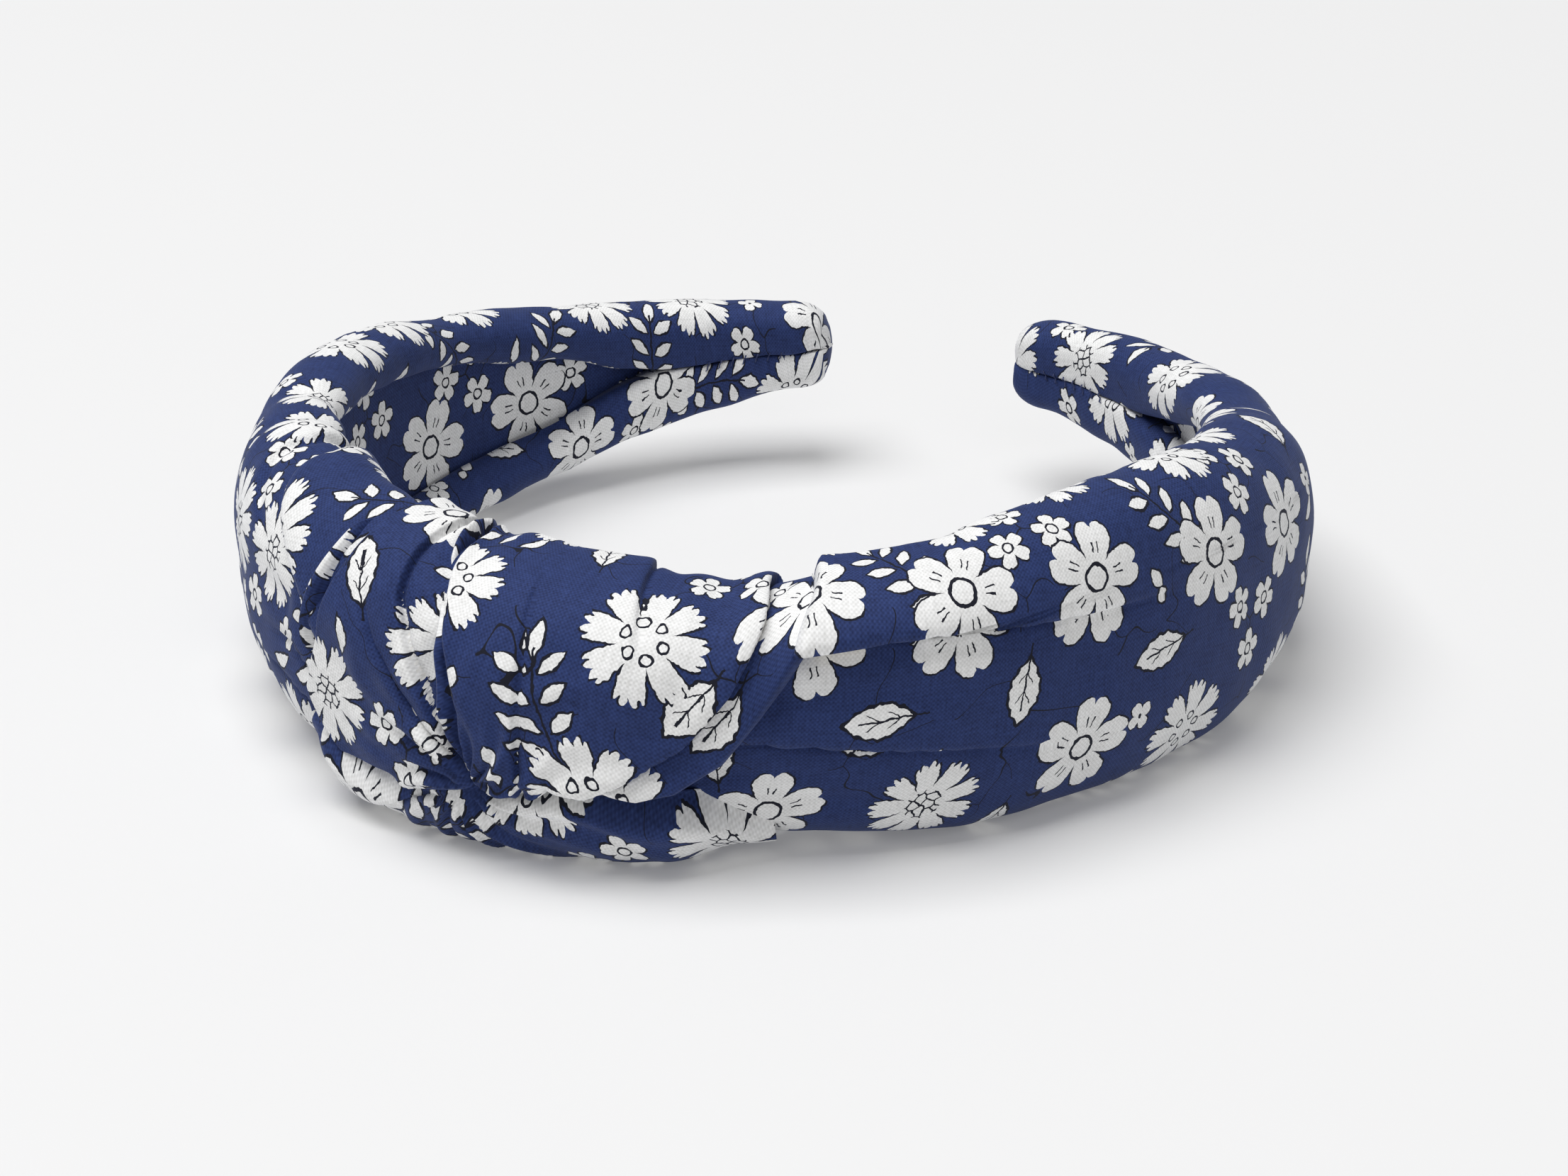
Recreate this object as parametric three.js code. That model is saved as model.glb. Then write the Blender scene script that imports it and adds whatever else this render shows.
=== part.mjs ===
// A knotted headband: a moulded U-shaped hoop, a sponge pad round it, two fabric sleeves from the
// crown to the tips, a lining strip inside, and a knot of padded fabric strands at the crown.
//
// Millimetres. The band lies on its side with its flat U in the horizontal plane: +Z is up across the
// band's width, the crown faces -Y and the tips point towards +Y. The origin is under the middle.
//
// Every piece is described in band coordinates: s runs along the hoop from the crown (left arm
// negative), n points out of the U from the middle of the hoop's wall, and z is the height.

import * as THREE from "three";

// ---- Hoop ----
const ARM = 198; // along the hoop, from the crown to a tip
const CROWN_CURVATURE = 0.0155; // per millimetre
const CURVATURE_SQUARE = -0.7133; // the arms straighten a little past the crown ...
const CURVATURE_FOURTH = 0.972; // ... and then close in towards the tips
const CROWN_Y = -63.2; // brings the whole band's middle to y = 0
const SIDE_SHIFT = -0.75; // and to x = 0
const WALK_STEP = 1;

// ---- Layers, from the head outwards ----
const GAP = 0.3;
const RECESS = -2; // n of the lining's bed, which the rolled rims stand in front of
const LINING = { from: -1.7, to: -1.2, tuck: 2.5, end: 177 };
const CORE = { from: -0.9, to: 0.9, half: 12.5, tip: 4.2, end: 191 };
const FOAM_END = 194.5;
const CLOTH = 0.9; // thickness of a fabric shell

// ---- Outline of a sleeve: [s, top, bottom, roll, outside] ----
// roll is how far the rim stands in from the recess, outside how far the crown of the pad stands out.
const SLEEVE_OUTLINE = [
  [-198, 25.6, 13.0, 3.4, 4.9],
  [-178, 26.8, 9.2, 4.2, 6.2],
  [-160, 28.8, 5.0, 4.6, 7.2],
  [-135, 33.2, 1.6, 4.8, 7.2],
  [-112, 36.8, 0, 5.0, 7.4],
  [-88, 38.4, 0, 5.2, 7.8],
  [-62, 39.0, 1.6, 5.2, 8.4],
  [-34, 39.2, 2.0, 5.0, 9.4],
  [34, 39.6, 2.2, 5.2, 10.2],
  [48, 41.4, 0.8, 5.4, 9.4],
  [64, 41.8, 0, 5.6, 8.8],
  [88, 40.4, 0, 5.6, 9.0],
  [112, 36.8, 2.0, 5.4, 9.0],
  [135, 32.4, 4.6, 5.0, 7.4],
  [160, 28.4, 7.2, 4.4, 6.0],
  [178, 26.4, 9.2, 3.8, 5.4],
  [198, 24.6, 11.4, 3.2, 4.9],
];
const RIM = 5.2; // half height of a rolled rim
const RIM_END = 150; // from here on the rims close over the recess
const RIM_SHUT = 176; // and meet here
const SLIT = 0.6; // half the gap that the seam thread lies in
const DOME_POWER = 2.5; // 2 is an ellipse, more is squarer
const TIP_ROUND = 4.5; // length over which a tip rounds off
const TIP_END = 0.62; // size of the flat end against the full section

// ---- The sleeves under the knot ----
const NECK = { top: 35, bottom: 4.5, roll: 2.6, outside: 5.6, from: 16, to: 40, end: 3 };

// ---- Outline of the knot: [s, top, bottom, roll, outside] ----
const KNOT_OUTLINE = [
  [-46, 40.2, 0, 7.2, 11.2],
  [-30, 40.2, 0, 7.0, 12.6],
  [-12, 40.0, 0, 6.4, 14.4],
  [4, 39.9, 0, 6.4, 14.8],
  [18, 39.8, 0.2, 6.4, 13.6],
  [34, 39.6, 1.6, 7.0, 12.2],
];
const STRAND_TOP = [[-40, 5], [-20, 8], [-10, 10.4], [-1, 12], [10, 9.6], [24, 4.4]];
const STRAND = { from: -36, to: 22 };
const TUCK = { end: 0.14, off: 0.35, out: 0.8 }; // turns where a strand ends, leaves the sleeves, stands clear

// The wraps are fans: they run from their gathered lower edge up over the top and into the recess.
const FRONT_WRAP_TOP = [[-17.5, 38], [28.5, 38]];
const FRONT_WRAP_FOOT = [[-10.6, 11], [-1, 12.8], [9.6, 10.6], [14, 12], [18.6, 15.6], [22.6, 21.4], [26, 30]];
const LEFT_WRAP_TOP = [[-32, 38], [-18.4, 38]];
const LEFT_WRAP_FOOT = [[-38, 13], [-35, 7.4], [-26, 7.8], [-11.6, 11]];

// ---- Seam thread in the slit near each tip ----
const THREAD = { radius: 0.2, wave: 0.1, from: 179, to: 190, pitch: 2.2, depth: -3.4 };

const COLOURS = {
  fabric: { color: 0x1f2f66, roughness: 0.85, metalness: 0 },
  wadding: { color: 0xe8e6e0, roughness: 0.95, metalness: 0 },
  sponge: { color: 0xd9d4c6, roughness: 0.95, metalness: 0 },
  plastic: { color: 0x23252b, roughness: 0.5, metalness: 0 },
  thread: { color: 0x1a2550, roughness: 0.7, metalness: 0 },
};

// ---- Curves ----

/** A smooth curve through rows [x, value, ...] that never overshoots them. */
function smoothRow(rows, column) {
  const x = rows.map((row) => row[0]);
  const v = rows.map((row) => row[column]);
  const slope = x.slice(1).map((_, i) => (v[i + 1] - v[i]) / (x[i + 1] - x[i]));
  const tangent = x.map((_, i) => {
    if (i === 0 || i === x.length - 1) return 0;
    const before = slope[i - 1];
    const after = slope[i];
    return before * after <= 0 ? 0 : (2 * before * after) / (before + after);
  });
  return (at) => {
    const clamped = THREE.MathUtils.clamp(at, x[0], x[x.length - 1]);
    let i = 0;
    while (i < x.length - 2 && clamped > x[i + 1]) i += 1;
    const width = x[i + 1] - x[i];
    const t = (clamped - x[i]) / width;
    const rise = v[i + 1] - v[i];
    const cubic = width * (tangent[i] + tangent[i + 1]) - 2 * rise;
    const square = 3 * rise - width * (2 * tangent[i] + tangent[i + 1]);
    return v[i] + t * (width * tangent[i] + t * (square + t * cubic));
  };
}

/** The same for all the columns of an outline. */
function smoothOutline(rows) {
  const columns = ["top", "bottom", "roll", "outside"].map((name, i) => [name, smoothRow(rows, i + 1)]);
  return (s) => Object.fromEntries(columns.map(([name, curve]) => [name, curve(s)]));
}

/** The hoop's direction at s, as the angle turned since the crown. */
function heading(s) {
  const u = s / ARM;
  return CROWN_CURVATURE * s * (1 + (CURVATURE_SQUARE * u * u) / 3 + (CURVATURE_FOURTH * u ** 4) / 5);
}

/** Points along one arm, a step apart, walked from the crown. */
function walkArm() {
  const points = [new THREE.Vector2(0, 0)];
  for (let s = 0; s < ARM + 4 * WALK_STEP; s += WALK_STEP) {
    const middle = heading(s + WALK_STEP / 2);
    const last = points[points.length - 1];
    points.push(new THREE.Vector2(last.x + WALK_STEP * Math.cos(middle), last.y + WALK_STEP * Math.sin(middle)));
  }
  return points;
}

const armPoints = walkArm();

/** From band coordinates to the part's frame. */
function place(s, n, z) {
  const along = Math.abs(s) / WALK_STEP;
  const i = Math.floor(along);
  const point = armPoints[i].clone().lerp(armPoints[i + 1], along - i);
  const angle = heading(s);
  const x = Math.sign(s) * point.x + n * Math.sin(angle) + SIDE_SHIFT;
  return new THREE.Vector3(x, point.y - n * Math.cos(angle) + CROWN_Y, z);
}

// ---- Sections ----

const sleeveOutline = smoothOutline(SLEEVE_OUTLINE);
const knotOutline = smoothOutline(KNOT_OUTLINE);

/** Half height of the rims: full size along the arms, then closing over the recess. */
function rimHalf(s, half) {
  const shut = THREE.MathUtils.smoothstep(Math.abs(s), RIM_END, RIM_SHUT);
  const closed = (half - SLIT) / 2;
  return THREE.MathUtils.lerp(Math.min(RIM, closed), closed, shut);
}

/** How far a tip has rounded off at s, from 1 down to its flat end. */
function tipScale(s) {
  const past = (Math.abs(s) - (ARM - TIP_ROUND)) / TIP_ROUND;
  return past <= 0 ? 1 : TIP_END + (1 - TIP_END) * Math.sqrt(Math.max(0, 1 - past * past));
}

/** A sleeve's section: its mid height, half height, rim, roll and outside. */
function sleeveSection(s) {
  const open = sleeveOutline(s);
  const out = THREE.MathUtils.smoothstep(Math.abs(s), NECK.from, NECK.to);
  const mix = (name) => THREE.MathUtils.lerp(NECK[name], open[name], out);
  const scale = tipScale(s);
  const half = (mix("top") - mix("bottom")) / 2;
  return {
    mid: (mix("top") + mix("bottom")) / 2,
    half: half * scale,
    rim: rimHalf(s, half * scale),
    roll: mix("roll") * scale,
    outside: mix("outside") * scale,
    shut: THREE.MathUtils.smoothstep(Math.abs(s), RIM_END, RIM_SHUT),
  };
}

/** The knot's section, in the same terms. */
function knotSection(s) {
  const { top, bottom, roll, outside } = knotOutline(s);
  return { mid: (top + bottom) / 2, half: (top - bottom) / 2, rim: RIM, roll, outside, shut: 0 };
}

/**
 * A point of a C-shaped section. t runs from the upper lip (0) round the rolled rim to the top (1),
 * down the outside past its middle (2) to the bottom (3), and round the lower rim to its lip (4).
 */
function sectionPoint(section, t, inset = 0) {
  const upper = t <= 2;
  const turn = upper ? t : 4 - t;
  const half = section.half - inset;
  const rim = section.rim - inset;
  let n;
  let height;
  if (turn < 1) {
    const angle = Math.PI * (turn - 0.5);
    const squareness = turn < 0.5 ? 1 - 0.55 * section.shut : 1;
    n = RECESS - (section.roll - inset) * Math.cos(angle) ** squareness;
    height = half - rim + rim * Math.sin(angle);
  } else {
    const angle = (Math.PI / 2) * (2 - turn);
    n = RECESS + (section.outside - inset - RECESS) * Math.cos(angle) ** (2 / DOME_POWER);
    height = half * Math.sin(angle) ** (2 / DOME_POWER);
  }
  return [n, section.mid + (upper ? height : -height)];
}

/** Where a section's outside stands at height z, as a t between 1 and 3. */
function turnAtHeight(section, z) {
  const share = THREE.MathUtils.clamp((z - section.mid) / section.half, -1, 1);
  const angle = Math.asin(Math.abs(share) ** (DOME_POWER / 2));
  return 2 - (Math.sign(share) * angle) / (Math.PI / 2);
}

// ---- Closed meshes ----

/** Steps from 0 to 1, with both ends. */
const steps = (count) => Array.from({ length: count + 1 }, (_, i) => i / count);

/** A geometry from points and triangles, turned so that its faces point out. */
function closedGeometry(points, triangles) {
  let volume = 0;
  for (const [a, b, c] of triangles) volume += points[a].dot(points[b].clone().cross(points[c]));
  const index = triangles.flatMap(([a, b, c]) => (volume < 0 ? [a, c, b] : [a, b, c]));
  const geometry = new THREE.BufferGeometry();
  geometry.setAttribute("position", new THREE.Float32BufferAttribute(points.flatMap((p) => p.toArray()), 3));
  geometry.setIndex(index);
  geometry.computeVertexNormals();
  return geometry;
}

/** Two triangles for each cell between two rows of point numbers. */
function stripBetween(rowA, rowB) {
  const triangles = [];
  for (let j = 0; j + 1 < rowA.length; j += 1) {
    triangles.push([rowA[j], rowA[j + 1], rowB[j + 1]], [rowA[j], rowB[j + 1], rowB[j]]);
  }
  return triangles;
}

/** A solid through closed sections, each a list of points, with flat triangulated ends. */
function loft(sections) {
  const size = sections[0].length;
  const points = sections.flat();
  const row = (i) => [...Array(size).keys(), 0].map((j) => i * size + j);
  const triangles = [];
  for (let i = 0; i + 1 < sections.length; i += 1) triangles.push(...stripBetween(row(i), row(i + 1)));
  for (const [i, flip] of [[0, true], [sections.length - 1, false]]) {
    for (const [a, b, c] of capTriangles(sections[i])) {
      const corner = [a, b, c].map((k) => i * size + k);
      triangles.push(flip ? corner.reverse() : corner);
    }
  }
  return closedGeometry(points, triangles);
}

/** Triangles of a flat outline, in the order of the outline. */
function capTriangles(outline) {
  const centre = outline.reduce((sum, p) => sum.add(p), new THREE.Vector3()).divideScalar(outline.length);
  const normal = new THREE.Vector3();
  outline.forEach((p, i) => {
    const next = outline[(i + 1) % outline.length];
    normal.add(p.clone().sub(centre).cross(next.clone().sub(centre)));
  });
  normal.normalize();
  const across = new THREE.Vector3(0, 0, 1).cross(normal).normalize();
  const up = normal.clone().cross(across);
  const flat = outline.map((p) => new THREE.Vector2(p.dot(across), p.dot(up)));
  return THREE.ShapeUtils.triangulateShape(flat, []);
}

/** A shell between two grids of points of the same shape, closed along all four edges. */
function shell(outer, inner) {
  const rows = outer.length;
  const size = outer[0].length;
  const points = [...outer.flat(), ...inner.flat()];
  const outerRow = (i) => [...Array(size).keys()].map((j) => i * size + j);
  const innerRow = (i) => outerRow(i).map((k) => k + rows * size);
  const triangles = [];
  for (let i = 0; i + 1 < rows; i += 1) {
    triangles.push(...stripBetween(outerRow(i), outerRow(i + 1)));
    triangles.push(...stripBetween(innerRow(i + 1), innerRow(i)));
  }
  const side = (j) => [...Array(rows).keys()].map((i) => i * size + j);
  const behind = (line) => line.map((k) => k + rows * size);
  triangles.push(...stripBetween(innerRow(0), outerRow(0)));
  triangles.push(...stripBetween(outerRow(rows - 1), innerRow(rows - 1)));
  triangles.push(...stripBetween(side(0), behind(side(0))));
  triangles.push(...stripBetween(behind(side(size - 1)), side(size - 1)));
  return { points, triangles };
}

// ---- Pieces of the band ----

/** Values of s from one end to the other, closer together where the tip rounds off. */
function stations(from, to, spacing) {
  const count = Math.round(Math.abs(to - from) / spacing);
  return steps(count).map((t) => THREE.MathUtils.lerp(from, to, t));
}

const ARM_STATIONS = stations(NECK.end, ARM - TIP_ROUND, 6.8);
const SECTION_TURNS = [...steps(4), ...steps(8).slice(1).map((t) => 1 + 2 * t), ...steps(4).slice(1).map((t) => 3 + t)];

/** The hoop: a flat moulded strip that narrows towards its rounded tips. */
function buildCore() {
  const width = (s) => {
    const room = sleeveSection(s).half - CLOTH - 3 * GAP;
    const end = Math.sqrt(Math.max(0.15, 1 - Math.max(0, (Math.abs(s) - CORE.end + CORE.tip) / CORE.tip) ** 2));
    return Math.min(CORE.half, room * 0.72) * end;
  };
  const sections = stations(-CORE.end, CORE.end, 7.5).map((s) => {
    const { mid } = sleeveSection(s);
    const half = width(s);
    const corners = [[CORE.from, half - 0.6], [CORE.from + 0.6, half], [CORE.to, half]];
    const lower = corners.map(([n, z]) => [n, -z]).reverse();
    return [...corners, ...lower].map(([n, z]) => place(s, n, mid + z));
  });
  return { geometry: loft(sections), width };
}

/** The sponge pad: it fills the sleeves and folds round both edges of the hoop. */
function buildFoam(coreWidth) {
  const inset = CLOTH + GAP;
  const arm = [...ARM_STATIONS, FOAM_END];
  const sections = [...arm.map((s) => -s).reverse(), 0, ...arm].map((s) => {
    const section = sleeveSection(s);
    const lip = section.half - 2 * section.rim + inset;
    const pocket = Math.max(lip + GAP, Math.abs(s) > CORE.end ? 0 : coreWidth(s) + GAP);
    const upper = SECTION_TURNS.filter((t) => t > 0 && t <= 2).map((t) => sectionPoint(section, t, inset));
    const lower = upper.slice(0, -1).reverse().map(([n, z]) => [n, 2 * section.mid - z]);
    const bed = [
      [RECESS - 0.1, -pocket],
      [CORE.to + GAP, -pocket],
      [CORE.to + GAP, pocket],
      [RECESS - 0.1, pocket],
    ].map(([n, z]) => [n, section.mid + z]);
    return [...upper, ...lower, ...bed].map(([n, z]) => place(s, n, z));
  });
  return loft(sections);
}

/** The lining: a thin strip on the hoop's inner face, its edges tucked behind the rims. */
function buildLining(coreWidth) {
  const sections = stations(-LINING.end, LINING.end, 8).map((s) => {
    const { mid, half, rim } = sleeveSection(s);
    const reach = Math.min(half - 2 * rim + LINING.tuck, coreWidth(s) - 2 * GAP);
    const corners = [[LINING.from, reach], [LINING.to, reach], [LINING.to, -reach], [LINING.from, -reach]];
    return corners.map(([n, z]) => place(s, n, mid + z));
  });
  return loft(sections);
}

/** One sleeve, from under the knot to its closed tip. side is -1 for the left arm. */
function buildSleeve(side) {
  const along = [...ARM_STATIONS, ...[0.45, 0.8, 1].map((share) => ARM - TIP_ROUND * (1 - share))];
  const shorten = (ARM - CLOTH - NECK.end) / (ARM - NECK.end);
  const innerArc = (s) => NECK.end + (s - NECK.end) * shorten;
  const row = (s, inset) => {
    const section = sleeveSection(side * s);
    return SECTION_TURNS.map((t) => place(side * s, ...sectionPoint(section, t, inset)));
  };
  const outer = along.map((s) => row(s, 0));
  const inner = along.map((s) => row(innerArc(s), CLOTH));
  liftLips(inner[inner.length - 1], side * innerArc(ARM));
  const { points, triangles } = shell(outer, inner);
  return closeTip(points, triangles, along.length, SECTION_TURNS.length);
}

/** Moves the two ends of a row outwards, so that the slit stops on a slope inside the end wall. */
function liftLips(row, s) {
  const outwards = place(s, GAP, 0).sub(place(s, 0, 0));
  row[0].add(outwards);
  row[row.length - 1].add(outwards);
}

/** Replaces the ring between the two skins at the tip with an end wall on each. */
function closeTip(points, triangles, rows, size) {
  const outerEnd = [...Array(size).keys()].map((j) => (rows - 1) * size + j);
  const innerEnd = outerEnd.map((k) => k + rows * size);
  const ring = new Set([...outerEnd, ...innerEnd]);
  const isRing = (face) => face.every((k) => ring.has(k));
  const kept = triangles.filter((face) => !isRing(face));
  const cap = (line) => capTriangles(line.map((k) => points[k])).map((face) => face.map((k) => line[k]));
  const [first, last] = [0, size - 1];
  kept.push(...cap(outerEnd));
  kept.push(...cap(innerEnd).map(([a, b, c]) => [a, c, b]));
  kept.push([innerEnd[first], outerEnd[first], outerEnd[last]], [innerEnd[first], outerEnd[last], innerEnd[last]]);
  return closedGeometry(points, kept);
}

// ---- Pieces of the knot ----

/** A point [s, z] a share of the way along a polyline of such points. */
function alongLine(line, share) {
  const at = share * (line.length - 1);
  const i = Math.min(Math.floor(at), line.length - 2);
  return [0, 1].map((k) => THREE.MathUtils.lerp(line[i][k], line[i + 1][k], at - i));
}

/** The point of a fan at shares u across and v down it, as s and its turn round the section. */
function fanPoint(top, foot, u, v, start) {
  const [topS] = alongLine(top, u);
  const [footS, footZ] = alongLine(foot, u);
  const footTurn = turnAtHeight(knotSection(footS), footZ);
  const t = THREE.MathUtils.lerp(start, footTurn, v);
  const down = THREE.MathUtils.clamp((t - 1) / (footTurn - 1), 0, 1);
  return [THREE.MathUtils.lerp(topS, footS, down), t];
}

/** A fan's grid of points, from the turn where it starts down to its foot. */
function fanGrid(top, foot, start, pick) {
  return steps(9).map((u) => steps(14).map((v) => {
    const [s, t] = fanPoint(top, foot, u, v, start);
    return place(s, ...pick(s, t));
  }));
}

/** Points just off the sleeves. */
const offSleeve = (off) => (s, t) => sectionPoint(sleeveSection(s), t, -off);

/** Points on the knot's surface, inset by a depth: near the recess it comes in to lie on the sleeves. */
const onKnot = (inset) => (s, t) => {
  const clear = THREE.MathUtils.smoothstep(Math.min(t, 4 - t), TUCK.off, TUCK.out);
  const resting = offSleeve(CLOTH + GAP - Math.min(inset, CLOTH))(s, t);
  const standing = sectionPoint(knotSection(s), t, inset);
  return [0, 1].map((k) => THREE.MathUtils.lerp(resting[k], standing[k], clear));
};

/** A fan of fabric over the knot, and the wadding under it. */
function buildWrap(top, foot) {
  const skin = shell(fanGrid(top, foot, TUCK.end, onKnot(0)), fanGrid(top, foot, TUCK.end, onKnot(CLOTH)));
  const fill = shell(
    fanGrid(top, foot, TUCK.out, onKnot(CLOTH + 1.5 * GAP)),
    fanGrid(top, foot, TUCK.out, offSleeve(GAP)),
  );
  return [skin, fill].map(({ points, triangles }) => closedGeometry(points, triangles));
}

/** The strand that crosses under the knot, from the outside round the bottom into the recess. */
function buildStrand() {
  const strandTop = smoothRow(STRAND_TOP, 1);
  const grid = (pick) =>
    steps(12).map((u) => {
      const s = THREE.MathUtils.lerp(STRAND.from, STRAND.to, u);
      const start = turnAtHeight(knotSection(s), strandTop(s));
      return steps(9).map((v) => {
        const t = THREE.MathUtils.lerp(start, 4 - TUCK.end, v);
        return place(s, ...pick(s, t));
      });
    });
  const { points, triangles } = shell(grid(onKnot(0)), grid(offSleeve(GAP)));
  return closedGeometry(points, triangles);
}

/** The seam thread that holds the rims together near a tip, waving from one rim to the other. */
function buildSeamThread(side) {
  const along = stations(THREAD.from, THREAD.to, THREAD.pitch / 2);
  const route = along.map((s, i) => {
    const { mid } = sleeveSection(side * s);
    return place(side * s, THREAD.depth, mid + THREAD.wave * (i % 2 === 0 ? 1 : -1));
  });
  const sides = 6;
  const sections = route.map((centre, i) => {
    const before = route[Math.max(0, i - 1)];
    const after = route[Math.min(route.length - 1, i + 1)];
    const ahead = after.clone().sub(before).setZ(0).normalize();
    const across = new THREE.Vector3(-ahead.y, ahead.x, 0);
    return steps(sides).slice(1).map((t) => {
      const angle = 2 * Math.PI * t;
      const offset = across.clone().multiplyScalar(Math.cos(angle)).setZ(Math.sin(angle));
      return centre.clone().addScaledVector(offset, THREAD.radius);
    });
  });
  return loft(sections);
}

// ---- Assembly ----

const headband = new THREE.Group();

function addPiece(name, geometry, look) {
  const mesh = new THREE.Mesh(geometry, new THREE.MeshStandardMaterial(COLOURS[look]));
  mesh.name = name;
  headband.add(mesh);
}

const core = buildCore();
const [frontWrap, frontWadding] = buildWrap(FRONT_WRAP_TOP, FRONT_WRAP_FOOT);
const [leftWrap, leftWadding] = buildWrap(LEFT_WRAP_TOP, LEFT_WRAP_FOOT);

addPiece("hoop_core", core.geometry, "plastic");
addPiece("sponge_pad", buildFoam(core.width), "sponge");
addPiece("inner_lining", buildLining(core.width), "fabric");
addPiece("left_sleeve", buildSleeve(-1), "fabric");
addPiece("right_sleeve", buildSleeve(1), "fabric");
addPiece("knot_front_wrap", frontWrap, "fabric");
addPiece("knot_front_wadding", frontWadding, "wadding");
addPiece("knot_left_wrap", leftWrap, "fabric");
addPiece("knot_left_wadding", leftWadding, "wadding");
addPiece("knot_under_strand", buildStrand(), "fabric");
addPiece("left_seam_thread", buildSeamThread(-1), "thread");
addPiece("right_seam_thread", buildSeamThread(1), "thread");

export default headband;
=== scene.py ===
"""A knotted headband of printed cotton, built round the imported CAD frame.

Shapes are worked out in band coordinates, in millimetres, as in the CAD model: s runs along the hoop
from the crown (left arm negative), n points out of the U from the hoop's middle, and z is the height.
place() turns them into the frame's metres.
"""

import math

import bmesh
import bpy
import numpy as np
from mathutils import Matrix, Vector


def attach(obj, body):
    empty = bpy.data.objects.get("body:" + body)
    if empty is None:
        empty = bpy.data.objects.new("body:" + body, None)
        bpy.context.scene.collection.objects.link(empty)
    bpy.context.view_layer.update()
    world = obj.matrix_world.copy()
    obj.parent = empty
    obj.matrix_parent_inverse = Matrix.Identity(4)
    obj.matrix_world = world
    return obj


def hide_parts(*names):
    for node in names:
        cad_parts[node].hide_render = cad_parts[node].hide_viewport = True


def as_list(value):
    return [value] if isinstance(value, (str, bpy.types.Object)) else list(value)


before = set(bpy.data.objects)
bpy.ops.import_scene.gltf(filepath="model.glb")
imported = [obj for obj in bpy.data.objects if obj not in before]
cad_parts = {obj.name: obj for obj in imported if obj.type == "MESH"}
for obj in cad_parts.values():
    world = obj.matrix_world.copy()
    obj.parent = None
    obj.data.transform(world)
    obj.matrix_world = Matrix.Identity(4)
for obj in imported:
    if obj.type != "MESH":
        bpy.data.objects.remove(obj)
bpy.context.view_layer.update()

MM = 0.001

# ---- Hoop, as in the CAD model ----
ARM = 198.0
CROWN_CURVATURE = 0.0155
CURVATURE_SQUARE = -0.7133
CURVATURE_FOURTH = 0.972
CROWN_Y = -63.2
SIDE_SHIFT = -0.75
RECESS = -2.0
RIM = 3.9
RIM_END, RIM_SHUT = 150.0, 176.0
SEAM_GAP = 0.05
DOME_POWER = 2.5
TIP_ROUND, TIP_END = 4.5, 0.62

# ---- Outlines: [s, top, bottom, roll, outside] ----
LEFT_OUTLINE = [
    [-198, 25.6, 13.0, 3.4, 4.9],
    [-178, 26.8, 9.2, 4.2, 6.2],
    [-160, 28.8, 5.0, 4.6, 7.2],
    [-135, 33.2, 1.6, 4.8, 7.2],
    [-112, 36.8, 0, 5.0, 7.4],
    [-88, 38.4, 0, 5.2, 7.8],
    [-62, 39.0, 1.4, 5.2, 8.6],
    [-40, 39.0, 1.6, 5.0, 9.6],
    [-26, 38.0, 2.6, 4.0, 9.2],
    [-10, 36.5, 4.0, 3.2, 8.0],
]
RIGHT_OUTLINE = [
    [10, 36.0, 3.6, 3.2, 8.6],
    [20, 37.2, 2.6, 4.0, 9.6],
    [34, 39.4, 1.2, 5.0, 10.4],
    [48, 41.2, 0.4, 5.4, 9.8],
    [64, 41.8, 0, 5.6, 9.0],
    [88, 40.4, 0, 5.6, 9.0],
    [112, 36.8, 2.0, 5.4, 9.0],
    [135, 32.4, 4.6, 5.0, 7.4],
    [160, 29.0, 8.0, 4.4, 6.0],
    [178, 27.8, 10.8, 3.8, 5.4],
    [198, 26.8, 13.8, 3.2, 4.9],
]
KNOT_OUTLINE = [
    [-46, 40.2, 0, 7.2, 11.2],
    [-30, 40.2, 0, 7.0, 12.6],
    [-12, 39.8, 0, 6.4, 14.4],
    [4, 38.4, 0, 6.4, 14.8],
    [18, 36.2, 0.2, 6.4, 13.6],
    [34, 35.6, 1.6, 7.0, 12.2],
]

CLOTH = 0.32  # thickness of the printed cotton


# ---- Curves and the hoop ----


def smoothstep(x, low, high):
    t = np.clip((np.asarray(x, float) - low) / (high - low), 0, 1)
    return t * t * (3 - 2 * t)


def smooth_row(rows, column):
    """A smooth curve through rows [x, value, ...] that never overshoots them."""
    x = np.array([row[0] for row in rows], float)
    v = np.array([row[column] for row in rows], float)
    slope = np.diff(v) / np.diff(x)
    tangent = np.zeros_like(x)
    product = slope[:-1] * slope[1:]
    total = slope[:-1] + slope[1:]
    tangent[1:-1] = np.where(product > 0, 2 * product / np.where(total == 0, 1, total), 0)

    def curve(at):
        at = np.clip(at, x[0], x[-1])
        i = np.clip(np.searchsorted(x, at) - 1, 0, len(x) - 2)
        width = x[i + 1] - x[i]
        t = (at - x[i]) / width
        rise = v[i + 1] - v[i]
        cubic = width * (tangent[i] + tangent[i + 1]) - 2 * rise
        square = 3 * rise - width * (2 * tangent[i] + tangent[i + 1])
        return v[i] + t * (width * tangent[i] + t * (square + t * cubic))

    return curve


def heading(s):
    u = s / ARM
    return CROWN_CURVATURE * s * (1 + CURVATURE_SQUARE * u**2 / 3 + CURVATURE_FOURTH * u**4 / 5)


WALK = np.arange(0, ARM + 8, 0.25)
WALK_X = np.concatenate([[0], np.cumsum(0.25 * np.cos(heading(WALK[:-1] + 0.125)))])
WALK_Y = np.concatenate([[0], np.cumsum(0.25 * np.sin(heading(WALK[:-1] + 0.125)))])


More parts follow.
